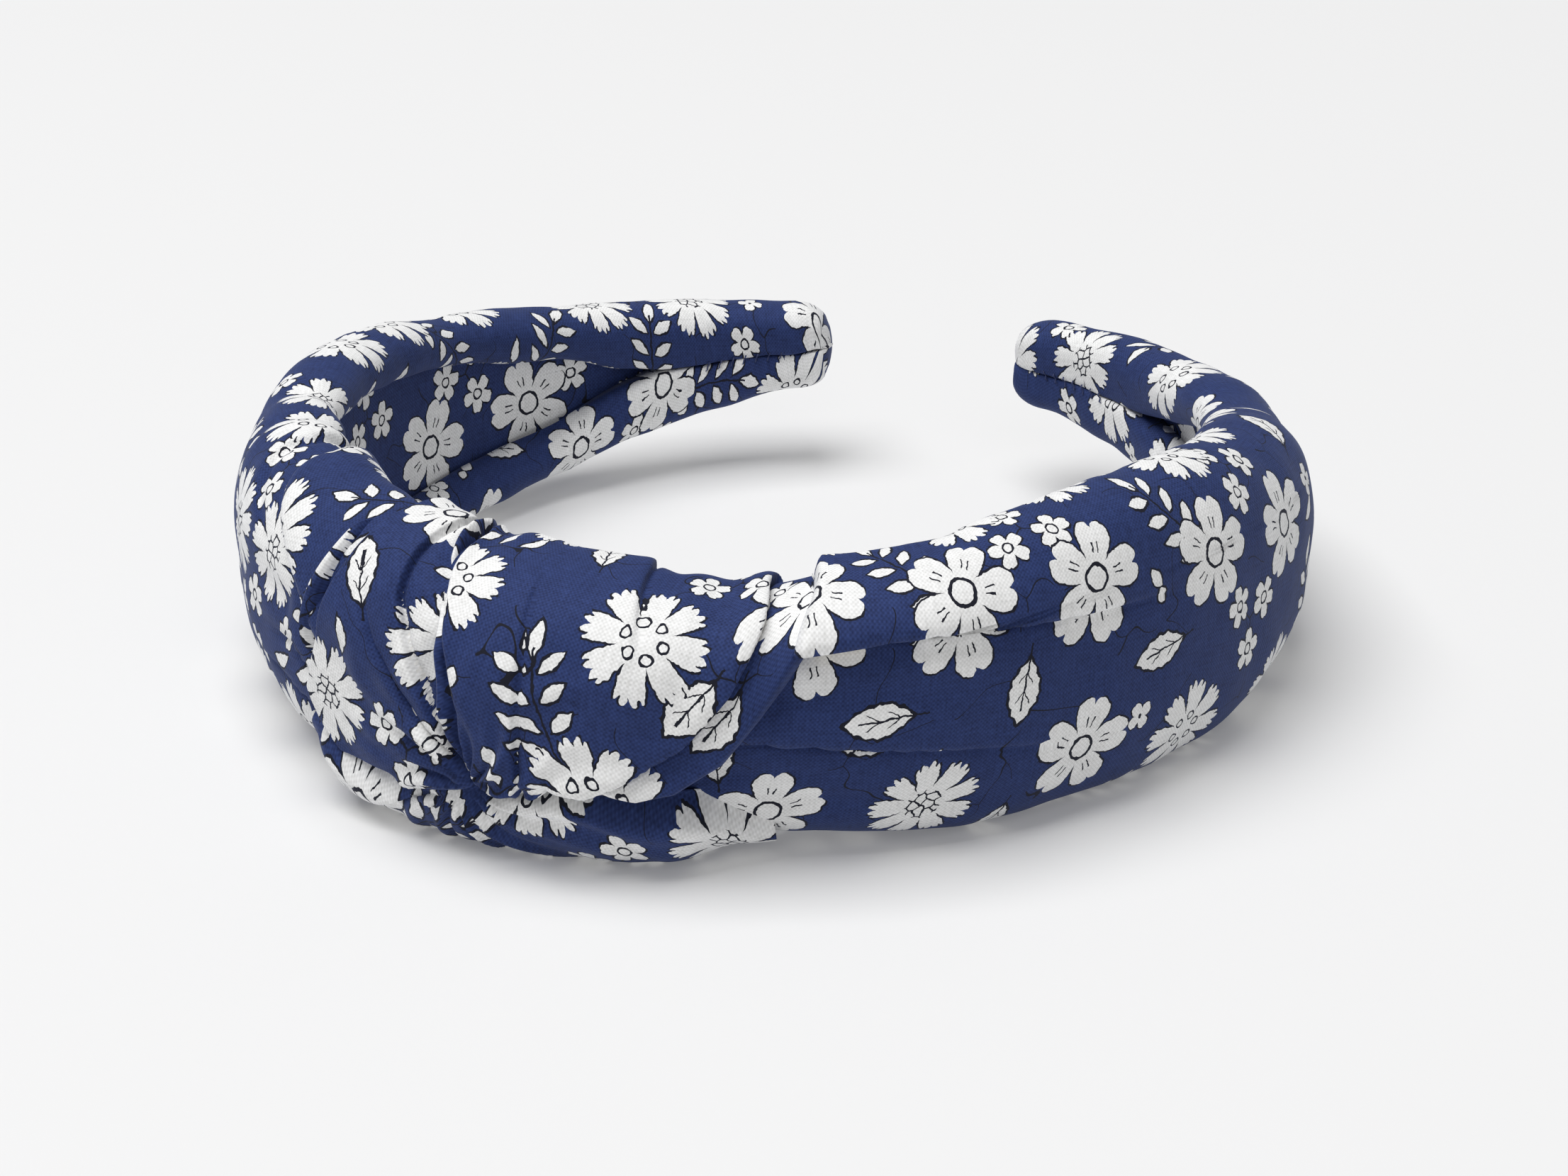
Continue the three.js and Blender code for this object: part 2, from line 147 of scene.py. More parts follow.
def place(s, n, z):
    """From band coordinates in millimetres to the frame in metres, for arrays of points."""
    s, n, z = np.broadcast_arrays(*[np.asarray(v, float) for v in (s, n, z)])
    angle = heading(s)
    x = np.sign(s) * np.interp(abs(s), WALK, WALK_X) + n * np.sin(angle) + SIDE_SHIFT
    y = np.interp(abs(s), WALK, WALK_Y) - n * np.cos(angle) + CROWN_Y
    return np.stack([x, y, z], -1) * MM


# ---- Sections ----


def outline_curves(rows):
    return [smooth_row(rows, column) for column in (1, 2, 3, 4)]


LEFT_CURVES = outline_curves(LEFT_OUTLINE)
RIGHT_CURVES = outline_curves(RIGHT_OUTLINE)
KNOT_CURVES = outline_curves(KNOT_OUTLINE)


def section(curves, s, tip=False):
    """The C-section at s: mid height, half height, rim, roll, outside, and how far the rims have shut."""
    top, bottom, roll, outside = [curve(s) for curve in curves]
    past = np.clip((abs(s) - (ARM - TIP_ROUND)) / TIP_ROUND, 0, 1)
    scale = np.where(past > 0, TIP_END + (1 - TIP_END) * np.sqrt(1 - past**2), 1) if tip else 1.0
    half = (top - bottom) / 2 * scale
    shut = smoothstep(abs(s), RIM_END, RIM_SHUT) * (1 if tip else 0)
    closed = (half - SEAM_GAP) / 2
    rim = np.minimum(RIM, closed) * (1 - shut) + closed * shut
    return {
        "mid": (top + bottom) / 2,
        "half": half,
        "rim": rim,
        "roll": roll * scale,
        "outside": outside * scale,
        "shut": shut,
    }


def section_point(sec, t, inset=0.0):
    """(n, z, h) of a section at turn t: 0 upper lip, 1 top, 2 outside's middle, 3 bottom, 4 lower lip.

    h is a height that keeps growing over the top and keeps falling past the bottom.
    """
    upper = t <= 2
    turn = np.where(upper, t, 4 - t)
    half, rim = sec["half"] - inset, sec["rim"] - inset
    rim_angle = np.pi * (np.minimum(turn, 1) - 0.5)
    square = np.where(turn < 0.5, 1 - 0.88 * sec["shut"], 1)
    rim_n = RECESS - (sec["roll"] - inset) * np.maximum(np.cos(rim_angle), 0) ** square
    rim_z = half - rim + rim * np.sin(rim_angle)
    dome_angle = np.pi / 2 * (2 - np.maximum(turn, 1))
    dome_n = RECESS + (sec["outside"] - inset - RECESS) * np.maximum(np.cos(dome_angle),
        0) ** (2 / DOME_POWER)
    dome_z = half * np.maximum(np.sin(dome_angle), 0) ** (2 / DOME_POWER)
    n = np.where(turn < 1, rim_n, dome_n)
    z = np.where(turn < 1, rim_z, dome_z)
    over = np.where(turn < 1, (1 - turn) * np.pi * rim, 0)
    h = np.where(turn < 1, half, dome_z) + over
    sign = np.where(upper, 1, -1)
    return n, sec["mid"] + sign * z, sec["mid"] + sign * h


def turn_at_height(sec, z):
    share = np.clip((z - sec["mid"]) / sec["half"], -1, 1)
    angle = np.arcsin(abs(share) ** (DOME_POWER / 2))
    return 2 - np.sign(share) * angle / (np.pi / 2)


# ---- Folds and wrinkles ----


def line_distance(line, s, h):
    """Signed distance to a polyline of (s, h), positive on its left, and the share along it."""
    line = np.array(line, float)
    best = np.full(np.shape(s), 1e9)
    signed = np.zeros(np.shape(s))
    along = np.zeros(np.shape(s))
    lengths = np.hypot(*np.diff(line, axis=0).T)
    before = np.concatenate([[0], np.cumsum(lengths)])
    for i, length in enumerate(lengths):
        (s0, h0), (s1, h1) = line[i], line[i + 1]
        ds, dh = (s1 - s0) / length, (h1 - h0) / length
        t = np.clip((s - s0) * ds + (h - h0) * dh, 0, length)
        gap = np.hypot(s - s0 - t * ds, h - h0 - t * dh)
        side = ds * (h - h0) - dh * (s - s0)
        closer = gap < best
        best = np.where(closer, gap, best)
        signed = np.where(closer, np.where(side >= 0, gap, -gap), signed)
        along = np.where(closer, (before[i] + t) / before[-1], along)
    return signed, along


def waves(s, h, size, seed, count=14):
    """A smooth random field of about unit height, with bumps of the given size in millimetres."""
    random = np.random.RandomState(seed)
    total = np.zeros(np.shape(s))
    for _ in range(count):
        angle = random.uniform(0, 2 * np.pi)
        pitch = size * random.uniform(0.8, 2.0)
        phase = random.uniform(0, 2 * np.pi)
        total += np.sin(2 * np.pi * (s * np.cos(angle) + h * np.sin(angle)) / pitch + phase)
    return total / math.sqrt(count / 2)


class Folds:
    """Adds up how far each point of a piece of cloth stands out, slides sideways and shifts its print."""

    def __init__(self, s, h):
        self.s, self.h = s, h
        self.out = np.zeros(np.shape(s))
        self.slide = np.zeros(np.shape(s) + (2,))
        self.print_shift = np.zeros(np.shape(s) + (2,))

    def lap(self, line, height, fade=(0.0, 1.0), spread=11.0, hidden=7.0, overhang=0.7, wall=0.45):
        """A fold that laps over the cloth on the line's right: its left side stands out and hides some print.

        fade is how strong it is at the line's start and end.
        """
        d, along = line_distance(line, self.s, self.h)
        strength = fade[0] + (fade[1] - fade[0]) * along
        ends = self.end_fade(line, d)
        print_strength = strength * self.end_fade(line, d, reach=40) * np.exp(np.minimum(d, 0) / 45)
        strength = strength * ends
        step = smoothstep(d, -wall, wall)
        raised = np.exp(-np.maximum(d, 0) / spread)
        sunk = np.exp(np.minimum(d, 0) / 3.6)
        roundness = 1 - 0.35 * np.exp(-((np.maximum(d, 0) / 0.9) ** 2))
        groove = np.exp(-(((d + 0.75 * wall) / (0.9 * wall)) ** 2))
        rise = step * raised * roundness - 0.36 * (1 - step) * sunk
        self.out += strength * (height * rise - 0.9 * groove)
        normal = self.across(line)
        lean = step * np.exp(-np.maximum(d, 0) / 3) - (1 - step) * np.exp(np.minimum(d, 0) / 3)
        self.slide -= (strength * overhang * lean)[..., None] * normal
        jump = 1 - smoothstep(d, -1.7 * wall, -0.9 * wall)
        self.print_shift += (print_strength * hidden * jump)[..., None] * normal

    def across(self, line):
        line = np.array(line, float)
        direction = line[-1] - line[0]
        direction /= np.hypot(*direction)
        return np.array([-direction[1], direction[0]])

    def end_fade(self, line, d, reach=3.5):
        """1 along the line, falling to 0 past its ends."""
        line = np.array(line, float)
        fade = np.ones(np.shape(self.s))
        for end, inner in ((line[0], line[1]), (line[-1], line[-2])):
            direction = (end - inner) / np.hypot(*(end - inner))
            past = (self.s - end[0]) * direction[0] + (self.h - end[1]) * direction[1]
            fade = fade * (1 - smoothstep(past, -0.5, reach))
        return fade

    def crease(self, line, depth, width=1.6, fade=(1.0, 1.0)):
        """A soft groove along a line, or a ridge where depth is negative."""
        d, along = line_distance(line, self.s, self.h)
        strength = (fade[0] + (fade[1] - fade[0]) * along) * self.end_fade(line, d)
        self.out -= strength * depth * np.exp(-((d / width) ** 2))

    def gather(self, centre, height, reach, count, phase=0.0):
        """Small pleats that radiate from a point where the cloth is pulled together."""
        ds, dh = self.s - centre[0], self.h - centre[1]
        distance = np.hypot(ds, dh)
        angle = np.arctan2(dh, ds) + 0.12 * np.sin(distance / 3.0)
        ridge = np.sin(count * angle + phase) + 0.5 * np.sin(count * 1.7 * angle + 2 + phase)
        self.out += height * ridge * np.exp(-distance / reach) * smoothstep(distance, 0, 4)

    def curl(self, line, lift, drop, width=1.3, spread=12.0):
        """A free edge folded under: the cloth stands out beside it and turns in at the edge itself."""
        d = abs(line_distance(line, self.s, self.h)[0])
        self.out += lift * np.exp(-d / spread) - drop * np.clip(1 - d / width, 0, 1) ** 2

    def settle(self, t, top, front, where=1.0):
        """Draws the cloth in, by one depth on top and another outside, to make room for its folds."""
        self.out -= where * (front + (top - front) * (1 - smoothstep(t, 1.0, 1.7)))

    def soft(self, height, size, seed):
        self.out += height * waves(self.s, self.h, size, seed)


# ---- Meshes ----


def grid_object(name, points, prints, outward, thickness=CLOTH):
    """A cloth piece through a grid of points, with its print coordinates in metres, thickened inwards."""
    rows, cols = points.shape[:2]
    index = np.arange(rows * cols).reshape(rows, cols)
    quads = np.stack([index[:-1, :-1], index[1:, :-1], index[1:, 1:], index[:-1, 1:]], -1).reshape(-1, 4)
    facing = np.cross(points[1:, :-1] - points[:-1, :-1], points[:-1, 1:] - points[:-1, :-1])
    if np.sum(facing * outward[:-1, :-1]) < 0:
        quads = quads[:, ::-1]
    mesh = bpy.data.meshes.new(name)
    mesh.vertices.add(rows * cols)
    mesh.vertices.foreach_set("co", points.reshape(-1).astype(np.float32))
    mesh.loops.add(quads.size)
    mesh.loops.foreach_set("vertex_index", quads.reshape(-1).astype(np.int32))
    mesh.polygons.add(len(quads))
    mesh.polygons.foreach_set("loop_start", np.arange(0, quads.size, 4, dtype=np.int32))
    mesh.update(calc_edges=True)
    layer = mesh.uv_layers.new(name="print")
    flat = prints.reshape(-1, 2)[quads.reshape(-1)]
    layer.data.foreach_set("uv", flat.reshape(-1).astype(np.float32))
    mesh.polygons.foreach_set("use_smooth", np.ones(len(quads), bool))
    mesh.update()
    piece = bpy.data.objects.new(name, mesh)
    bpy.context.scene.collection.objects.link(piece)
    if thickness:
        solid = piece.modifiers.new("thickness", "SOLIDIFY")
        solid.thickness = thickness * MM
        solid.offset = -1
    return piece


def cloth(name, s, t, base, folds_of, print_turn, print_offset, sink=0.0, thickness=CLOTH):
    """Builds one piece of cloth from its base surface and its folds.

    base(s, t) gives (n, z, h) and folds_of(folds, t) adds the folds. sink lowers the whole surface, for the
    filling under a cloth.
    """
    n, z, h = base(s, t)
    points = place(s, n, z)
    folds = Folds(s, h)
    folds_of(folds, t)
    e = 0.4
    n2, z2, _ = base(s + e, t)
    n3, z3, _ = base(s, t + 0.004)
    tangent_s = place(s + e, n2, z2) - points
    tangent_t = place(s, n3, z3) - points
    tangent_s /= np.linalg.norm(tangent_s, axis=-1, keepdims=True)
    tangent_t /= np.maximum(np.linalg.norm(tangent_t, axis=-1, keepdims=True), 1e-12)
    normal = np.cross(tangent_t, tangent_s)
    normal /= np.maximum(np.linalg.norm(normal, axis=-1, keepdims=True), 1e-12)
    moved = points + normal * (folds.out[..., None] - sink) * MM
    moved += tangent_s * folds.slide[..., :1] * MM - tangent_t * folds.slide[..., 1:] * MM
    moved[..., 2] = np.maximum(moved[..., 2], 0)
    along = s + 9.0 * heading(s) + folds.print_shift[..., 0]
    down = flat_height(n, z, t) + folds.print_shift[..., 1]
    turn = math.radians(print_turn)
    u = along * math.cos(turn) - down * math.sin(turn) + print_offset[0]
    v = along * math.sin(turn) + down * math.cos(turn) + print_offset[1]
    return grid_object(name, moved, np.stack([u, v], -1) * MM, normal, thickness)


def flat_height(n, z, t, middle=2.0):
    """Height on the cloth laid flat, measured round each section from the outside's middle."""
    step = np.hypot(np.diff(n, axis=1), np.diff(z, axis=1))
    down = np.concatenate([np.zeros((len(n), 1)), np.cumsum(step, axis=1)], axis=1)
    start = np.array([np.interp(middle, t[i], down[i]) for i in range(len(n))])
    return 20 - (down - start[:, None])


# ---- Sleeves ----


def sleeve_turns():
    """Turns round a sleeve's section, close together on its visible outside."""
    rims = np.linspace(0, 1, 30) ** 1.6
    even = np.linspace(0, 1, 138)
    dome = 1 + 0.8 * (0.5 - 0.5 * np.cos(np.pi * even)) + 1.2 * even
    return np.concatenate([rims[:-1], dome, 3 + rims[1:]])


def sleeve_arcs(start, end):
    """Stations along a sleeve: fine near the knot, coarser further on, and the flat tip at the end."""
    near = np.arange(0, 46, 0.44)
    far = np.arange(46, end - start - TIP_ROUND, 1.2)
    tip = end - start - TIP_ROUND * (1 - np.array([0, 0.2, 0.4, 0.6, 0.75, 0.87, 0.95, 1.0]))
    return np.concatenate([near, far, tip]) / (end - start)


def sleeve_grid(side, start_line):
    """Arrays of s and turn for a sleeve whose near edge follows start_line, rows of [h, |s|]."""
    turns = sleeve_turns()
    heights = np.array([row[0] for row in start_line], float)
    starts = np.array([row[1] for row in start_line], float)
    curves = LEFT_CURVES if side < 0 else RIGHT_CURVES
    _, _, h = section_point(section(curves, np.full(turns.shape, side * 30.0)), turns)
    start = np.interp(h, heights, starts)
    share = sleeve_arcs(start.min(), ARM)
    s = start[None, :] + (ARM - start[None, :]) * share[:, None]
    t = np.broadcast_to(turns, s.shape)
    return side * s, t


def sleeve_base(curves):
    def base(s, t):
        return section_point(section(curves, np.clip(s, -ARM, ARM), tip=True), t)

    return base


def left_sleeve_folds(folds, t):
    diagonal = [(-58, 54), (-55, 43), (-49.5, 37.8), (-43, 32.3), (-36, 26), (-30, 19), (-24, 11)]
    folds.lap(diagonal, 3.0, fade=(0.8, 1.0), spread=10, wall=0.6)
    folds.lap([(-60, 14.5), (-44, 13.5), (-34, 10.5), (-24, 5)], 2.0, fade=(0.0, 1.0), spread=5, hidden=3)
    folds.lap([(-54, 20), (-42, 19), (-33, 14.8), (-26, 10)], 1.4, fade=(0.0, 1.0), spread=4, hidden=2)
    folds.lap([(-50, 29), (-58, 34), (-64, 42), (-66, 52)], 1.3, fade=(0.0, 1.0), spread=8, hidden=2,
        wall=0.8)
    folds.crease([(-66, 20), (-54, 25), (-44, 24)], 0.9, 2.4, fade=(0.1, 1))
    folds.gather((-14, 10), 0.9, 17, 13)
    folds.crease([(-68, 48), (-71, 40), (-72, 33)], 1.3, 2.2, fade=(1, 0.1))
    folds.crease([(-82, 47), (-84, 40), (-88, 34)], 1.1, 2.4, fade=(1, 0.1))
    folds.crease([(-110, 30), (-130, 22), (-150, 20)], 0.5, 3.0, fade=(0.2, 0.6))
    folds.soft(0.25, 26, 3)
    folds.soft(0.10, 9, 4)


def right_sleeve_folds(folds, t):
    upper = [(14, 29.2), (26, 30.2), (35.5, 31.2), (41.5, 31.4), (50.5, 30.6), (62, 29.4), (78, 28.4)]
    folds.lap(upper, 3.4, fade=(1.25, 0.0), spread=16, hidden=8, overhang=1.1)
    lower = [(12, 19.6), (21, 18.7), (33.5, 17.2), (42.5, 15.6), (62, 12.0)]
    folds.lap(lower, 2.0, fade=(1.2, 0.0), spread=8, hidden=6)
    folds.crease([(24, 36.5), (40, 37.5), (62, 35.5)], 1.0, 2.2, fade=(1, 0))
    folds.crease([(26, 47), (38, 44), (56, 43)], 0.8, 2.4, fade=(1, 0))
    folds.crease([(24, 24.5), (38, 24.5), (60, 22)], 0.8, 2.2, fade=(1, 0))
    folds.crease([(22, 10), (36, 9), (56, 6)], 0.8, 2.0, fade=(1, 0))
    folds.crease([(16, 13.5), (26, 13.2), (44, 10.5)], 0.5, 1.4, fade=(1, 0))
    folds.crease([(150, 40), (128, 27), (118, 12)], 0.4, 4.0)
    start = np.interp(folds.h, [row[0] for row in RIGHT_START], [row[1] for row in RIGHT_START])
    from_start = np.maximum(folds.s - start, 0)
    over_knot = smoothstep(folds.h, 29, 31.5)
    folds.settle(t, 3.4, 0.2, 1 - smoothstep(folds.s, 40, 80))
    folds.out += over_knot * (1.6 * np.exp(-from_start / 10) - 4.5 * np.clip(1 - from_start / 1.7, 0,
        1) ** 2)
    folds.soft(0.22, 30, 13)
    folds.soft(0.08, 9, 14)


LEFT_START = [[-30, 24], [60, 24]]
RIGHT_START = [[-30, 27], [0, 25], [5, 20.5], [8.3, 15.5], [11, 12.5], [29.3, 13], [30.3, 25.6],
    [42.8, 30.2], [70, 30.2]]


def build_sleeve(name, side, start_line, curves, folds_of, turn, offset):
    s, t = sleeve_grid(side, start_line)
    piece = cloth(name, s, t, sleeve_base(curves), folds_of, turn, offset)
    fill_tip(piece, s.shape, side)
    return piece


def build_sponge():
    """The sponge in both sleeves, just below their cloth."""
    pieces = []
    for side, start_line, curves, folds_of in (
        (-1, LEFT_START, LEFT_CURVES, left_sleeve_folds),
        (1, RIGHT_START, RIGHT_CURVES, right_sleeve_folds),
    ):
        s, t = sleeve_grid(side, start_line)
        inside = (slice(6, -10, 2), slice(16, -16, 2))
        filling = cloth("sponge", s[inside], t[inside], sleeve_base(curves), folds_of, 0, (0, 0), 1.5, 1.2)
        pieces.append(filling)
    return pieces


TIP_RINGS = ((0.8, 0.35), (0.5, 0.6), (0.2, 0.7), (0.02, 0.72))  # (size, bulge in mm) of each ring
TIP_PRINT_STEP = 0.75 * MM


def fill_tip(piece, shape, side):
    """Closes the end of a tip with rings that shrink to its middle."""
    rows, cols = shape
    mesh = bmesh.new()
    mesh.from_mesh(piece.data)
    mesh.verts.ensure_lookup_table()
    layer = mesh.loops.layers.uv["print"]
    ring = [mesh.verts[(rows - 1) * cols + j] for j in range(cols)]
    first = [v.co.copy() for v in ring]
    centre = sum(first, Vector()) / cols
    uv_of = {v: v.link_loops[0][layer].uv.copy() for v in ring}
    print_step = Vector((math.copysign(TIP_PRINT_STEP, side), 0))
    for scale, bulge in TIP_RINGS:
        outward = Vector(place(side * (ARM + bulge), 0, 0) - place(side * ARM, 0, 0))
        inner = [mesh.verts.new(centre + (start - centre) * scale + outward) for start in first]
        for w, v in zip(inner, ring):
            uv_of[w] = uv_of[v] + print_step
        for j in range(cols - 1):
            corners = (ring[j], inner[j], inner[j + 1], ring[j + 1])
            face = mesh.faces.new(corners if side < 0 else corners[::-1])
            face.smooth = True
            for loop in face.loops:
                loop[layer].uv = uv_of[loop.vert]
        ring = inner
    mesh.to_mesh(piece.data)
    mesh.free()


# ---- Knot ----

TUCK_END, TUCK_OFF, TUCK_OUT = 0.14, 0.35, 0.8
NECK = {"top": 35.0, "bottom": 4.5, "roll": 2.6, "outside": 5.6, "from": 16.0, "to": 40.0}

FRONT_TOP = [(-18.0, 38), (33.5, 38)]
FRONT_FOOT = [(-9.6, 12.0), (0, 13.0), (9.6, 11.2), (14, 12.4), (19.0, 16.4), (23.2, 22.4), (28.4, 30.6)]
LEFT_TOP = [(-30, 38), (-12, 38)]
LEFT_FOOT = [(-36.5, 16.5), (-34.5, 11.5), (-30.5, 7.4), (-20, 7.6), (-7.0, 12.0)]
STRAND_TOP = [[-40, 13.5], [-34, 13], [-28, 10.8], [-20, 9.8], [-10, 11.6], [-1, 13.4], [10, 11.4],
    [14, 10.6], [24, 6]]


def on_knot(s, t):
    """The knot's surface: near the recess it comes in towards the sleeves' inner side."""
    n, z, h = section_point(section(KNOT_CURVES, s), t)
    near = np.minimum(t, 4 - t)
    clear = smoothstep(near, TUCK_OFF, TUCK_OUT)
    out = smoothstep(abs(s), NECK["from"], NECK["to"])
    curves = [np.where(s < 0, a(s), b(s)) for a, b in zip(LEFT_CURVES, RIGHT_CURVES)]
    names = ("top", "bottom", "roll", "outside")
    top, bottom, roll, outside = [NECK[k] * (1 - out) + c * out for k, c in zip(names, curves)]
    neck = {"mid": (top + bottom) / 2, "half": (top - bottom) / 2, "rim": RIM, "roll": roll,
        "outside": outside, "shut": 0.0}
    rest_n, rest_z, _ = section_point(neck, t, -1.2)
    return rest_n + (n - rest_n) * clear, rest_z + (z - rest_z) * clear, h


def along_line(line, share):
    line = np.array(line, float)
    at = np.linspace(0, 1, len(line))
    return np.interp(share, at, line[:, 0]), np.interp(share, at, line[:, 1])


def fan_grid(top, foot, across, down):
    """s and turn of a fan that runs from the recess over the top and down to its foot."""
    u = np.linspace(0, 1, across)[:, None]
    v = np.linspace(0, 1, down)[None, :]
    top_s, _ = along_line(top, u)
    foot_s, foot_z = along_line(foot, u)
    foot_t = turn_at_height(section(KNOT_CURVES, foot_s), foot_z)
    t = TUCK_END + (foot_t - TUCK_END) * v
    share = np.clip((t - 1) / (foot_t - 1), 0, 1)
    return top_s + (foot_s - top_s) * share, t


HEM_EDGE = [(0, 13.0), (9.6, 11.2), (14, 12.4), (19.0, 16.4), (23.2, 22.4), (28.4, 30.6), (33.5, 40),
    (33.5, 60)]
HEM_FOLD = [(-5, 11.6), (3, 12.9), (8.2, 15.6), (14, 20.0), (19, 26.4), (22.8, 33.4), (25.6, 41),
    (26.4, 54)]
CREASE = [(-18.0, 56), (-17.0, 41), (-14.4, 35.6), (-12.2, 29), (-10.4, 22), (-9.5, 12.0)]


def front_wrap_folds(folds, t):
    folds.settle(t, 1.3, -0.6)
    folds.curl(CREASE, 1.5, 3.6, 1.4, 12)
    folds.lap(HEM_FOLD, 1.7, fade=(1.0, 0.9), spread=11, hidden=5, overhang=0.9)
    folds.curl(HEM_EDGE, 1.3, 6.0, 1.9, 4)
    folds.lap([(-3.4, 11), (-2.9, 20), (-2.6, 30), (-3.2, 36)], 1.0, fade=(1.0, 0.2), spread=7,
        hidden=2.5, overhang=0.4)
    folds.crease([(-15.0, 50), (-13.8, 40), (-10.2, 33), (-8.2, 24)], 1.6, 2.2, fade=(1, 0.1))
    folds.lap([(9.6, 29), (8.9, 36), (7.8, 42), (7.4, 54)], 1.6, fade=(0.0, 1.2), spread=6, hidden=2,
        wall=0.6)
    folds.crease([(11.5, 52), (12.2, 40), (11, 33), (8.5, 26)], 0.9, 2.0, fade=(1, 0.1))
    folds.crease([(20, 50), (19.5, 40), (16.5, 30), (10, 20), (3, 13)], 0.8, 2.6, fade=(0.8, 0.8))
    folds.crease([(-8, 12), (-7.5, 20), (-5.8, 30)], 0.7, 1.5, fade=(1, 0.1))
    folds.crease([(-6, 12.5), (2, 17), (10, 24)], 0.6, 1.8, fade=(1, 0.1))
    folds.gather((-9.0, 11.5), 0.8, 11, 15)
    folds.soft(0.28, 17, 23)
    folds.soft(0.08, 6, 24)


LEFT_EDGE = [(-30, 52), (-30, 38), (-31.4, 33), (-33.2, 26), (-36.5, 16.5), (-34.5, 11.5), (-30.5, 7.4),
    (-20, 7.6)]


def left_wrap_folds(folds, t):
    folds.settle(t, 1.2, 0.3)
    under, _ = line_distance(CREASE, folds.s, folds.h)
    folds.out -= 2.0 * smoothstep(under, -2.5, 1.5)
    folds.lap([(-9.5, 12), (-13.2, 20), (-16.6, 27), (-19.4, 33.5), (-21.0, 44)], 2.0, fade=(1.1, 0.4),
        spread=7, hidden=3.0)
    folds.lap([(-10, 12.5), (-17, 20.5), (-22, 27), (-25.5, 34)], 1.2, fade=(1.0, 0.2), spread=4.5,
        hidden=1.5)
    folds.curl(LEFT_EDGE, 1.2, 5.5, 2.0, 7)
    folds.crease([(-12, 12), (-21, 12.5), (-30, 15)], 0.8, 1.2, fade=(1, 0.1))
    folds.crease([(-12, 13), (-21, 17.5), (-29, 23)], 0.9, 1.3, fade=(1, 0.1))
    folds.gather((-9.5, 11.5), 0.8, 12, 13, 1.0)
    folds.soft(0.3, 15, 33)
    folds.soft(0.08, 6, 34)


def build_wrap(name, top, foot, across, down, folds_of, turn, offset):
    s, t = fan_grid(top, foot, across, down)
    return cloth(name, s, t, on_knot, folds_of, turn, offset)


def build_wadding(name, top, foot, folds_of):
    """The filling under a wrap: it follows the cloth just below it, and stops short of its edges."""
    s, t = fan_grid(top, foot, 90, 130)
    inside = (slice(8, -8), slice(64, -14))
    return cloth(name, s[inside], t[inside], on_knot, folds_of, 0, (0, 0), sink=1.0, thickness=1.5)


def strand_folds(folds, t):
    upper = smooth_row(STRAND_TOP, 1)
    depth = upper(folds.s) - folds.h
    folds.out += 2.0 * smoothstep(depth, -0.5, 4.0) * (1 - smoothstep(depth, 8, 22))
    folds.out -= 3.6 * (1 - smoothstep(depth, 0.2, 3.2)) * smoothstep(folds.s, -12, -4)
    folds.out -= 3.0 * smoothstep(folds.s, 11, 20)
    folds.out -= 2.6 * (1 - smoothstep(folds.s, -38, -30))
    folds.out -= 2.2 * (1 - smoothstep(depth, 1.0, 4.5)) * (1 - smoothstep(folds.s, -20, -12))
    folds.lap([(-36, 1.5), (-26, 4.4), (-14, 8.2)], 1.2, fade=(0.3, 1.0), spread=5, hidden=2)
    folds.crease([(-9, 9.4), (2, 8.2), (16, 5)], 1.0, 1.4, fade=(1, 0.3))
    folds.crease([(-9, 8.4), (0, 4.6), (12, 1.5)], 0.7, 1.5, fade=(1, 0.1))
    folds.gather((-11, 10), 0.8, 10, 15, 2.0)
    folds.soft(0.25, 14, 43)


def build_strand():
    u = np.linspace(0, 1, 210)[:, None]
    v = np.linspace(0, 1, 150)[None, :]
    s = -38 + 62 * u + 0 * v
    start = turn_at_height(section(KNOT_CURVES, s), smooth_row(STRAND_TOP, 1)(s))
    t = start + (4 - TUCK_END - start) * v
    return cloth("knot_under_strand_cloth", s, t, on_knot, strand_folds, 24, (310, 40))


# ---- Lining and stitches ----


def build_lining():
    s = np.linspace(-179, 179, 420)[:, None]
    v = np.linspace(-1, 1, 41)[None, :]
    left = section(LEFT_CURVES, np.minimum(s, -10.0), tip=True)
    right = section(RIGHT_CURVES, np.maximum(s, 10.0), tip=True)
    mix = smoothstep(s, -10, 10)
    blend = {k: left[k] * (1 - mix) + right[k] * mix for k in left}
    reach = np.maximum(blend["half"] - 2 * blend["rim"] + 2.2, 1.2)
    z = blend["mid"] + reach * v
    n = -1.55 - 0.1 * waves(s + 0 * v, z, 16, 53) * (1 - v**2)
    prints = np.stack([s + 0 * v + 40, z + 500 + 0 * s], -1) * MM
    points = place(s, n, z)
    inward = place(s, n - 1, z) - points
    return grid_object("inner_lining_cloth", points, prints, inward, 0.3)


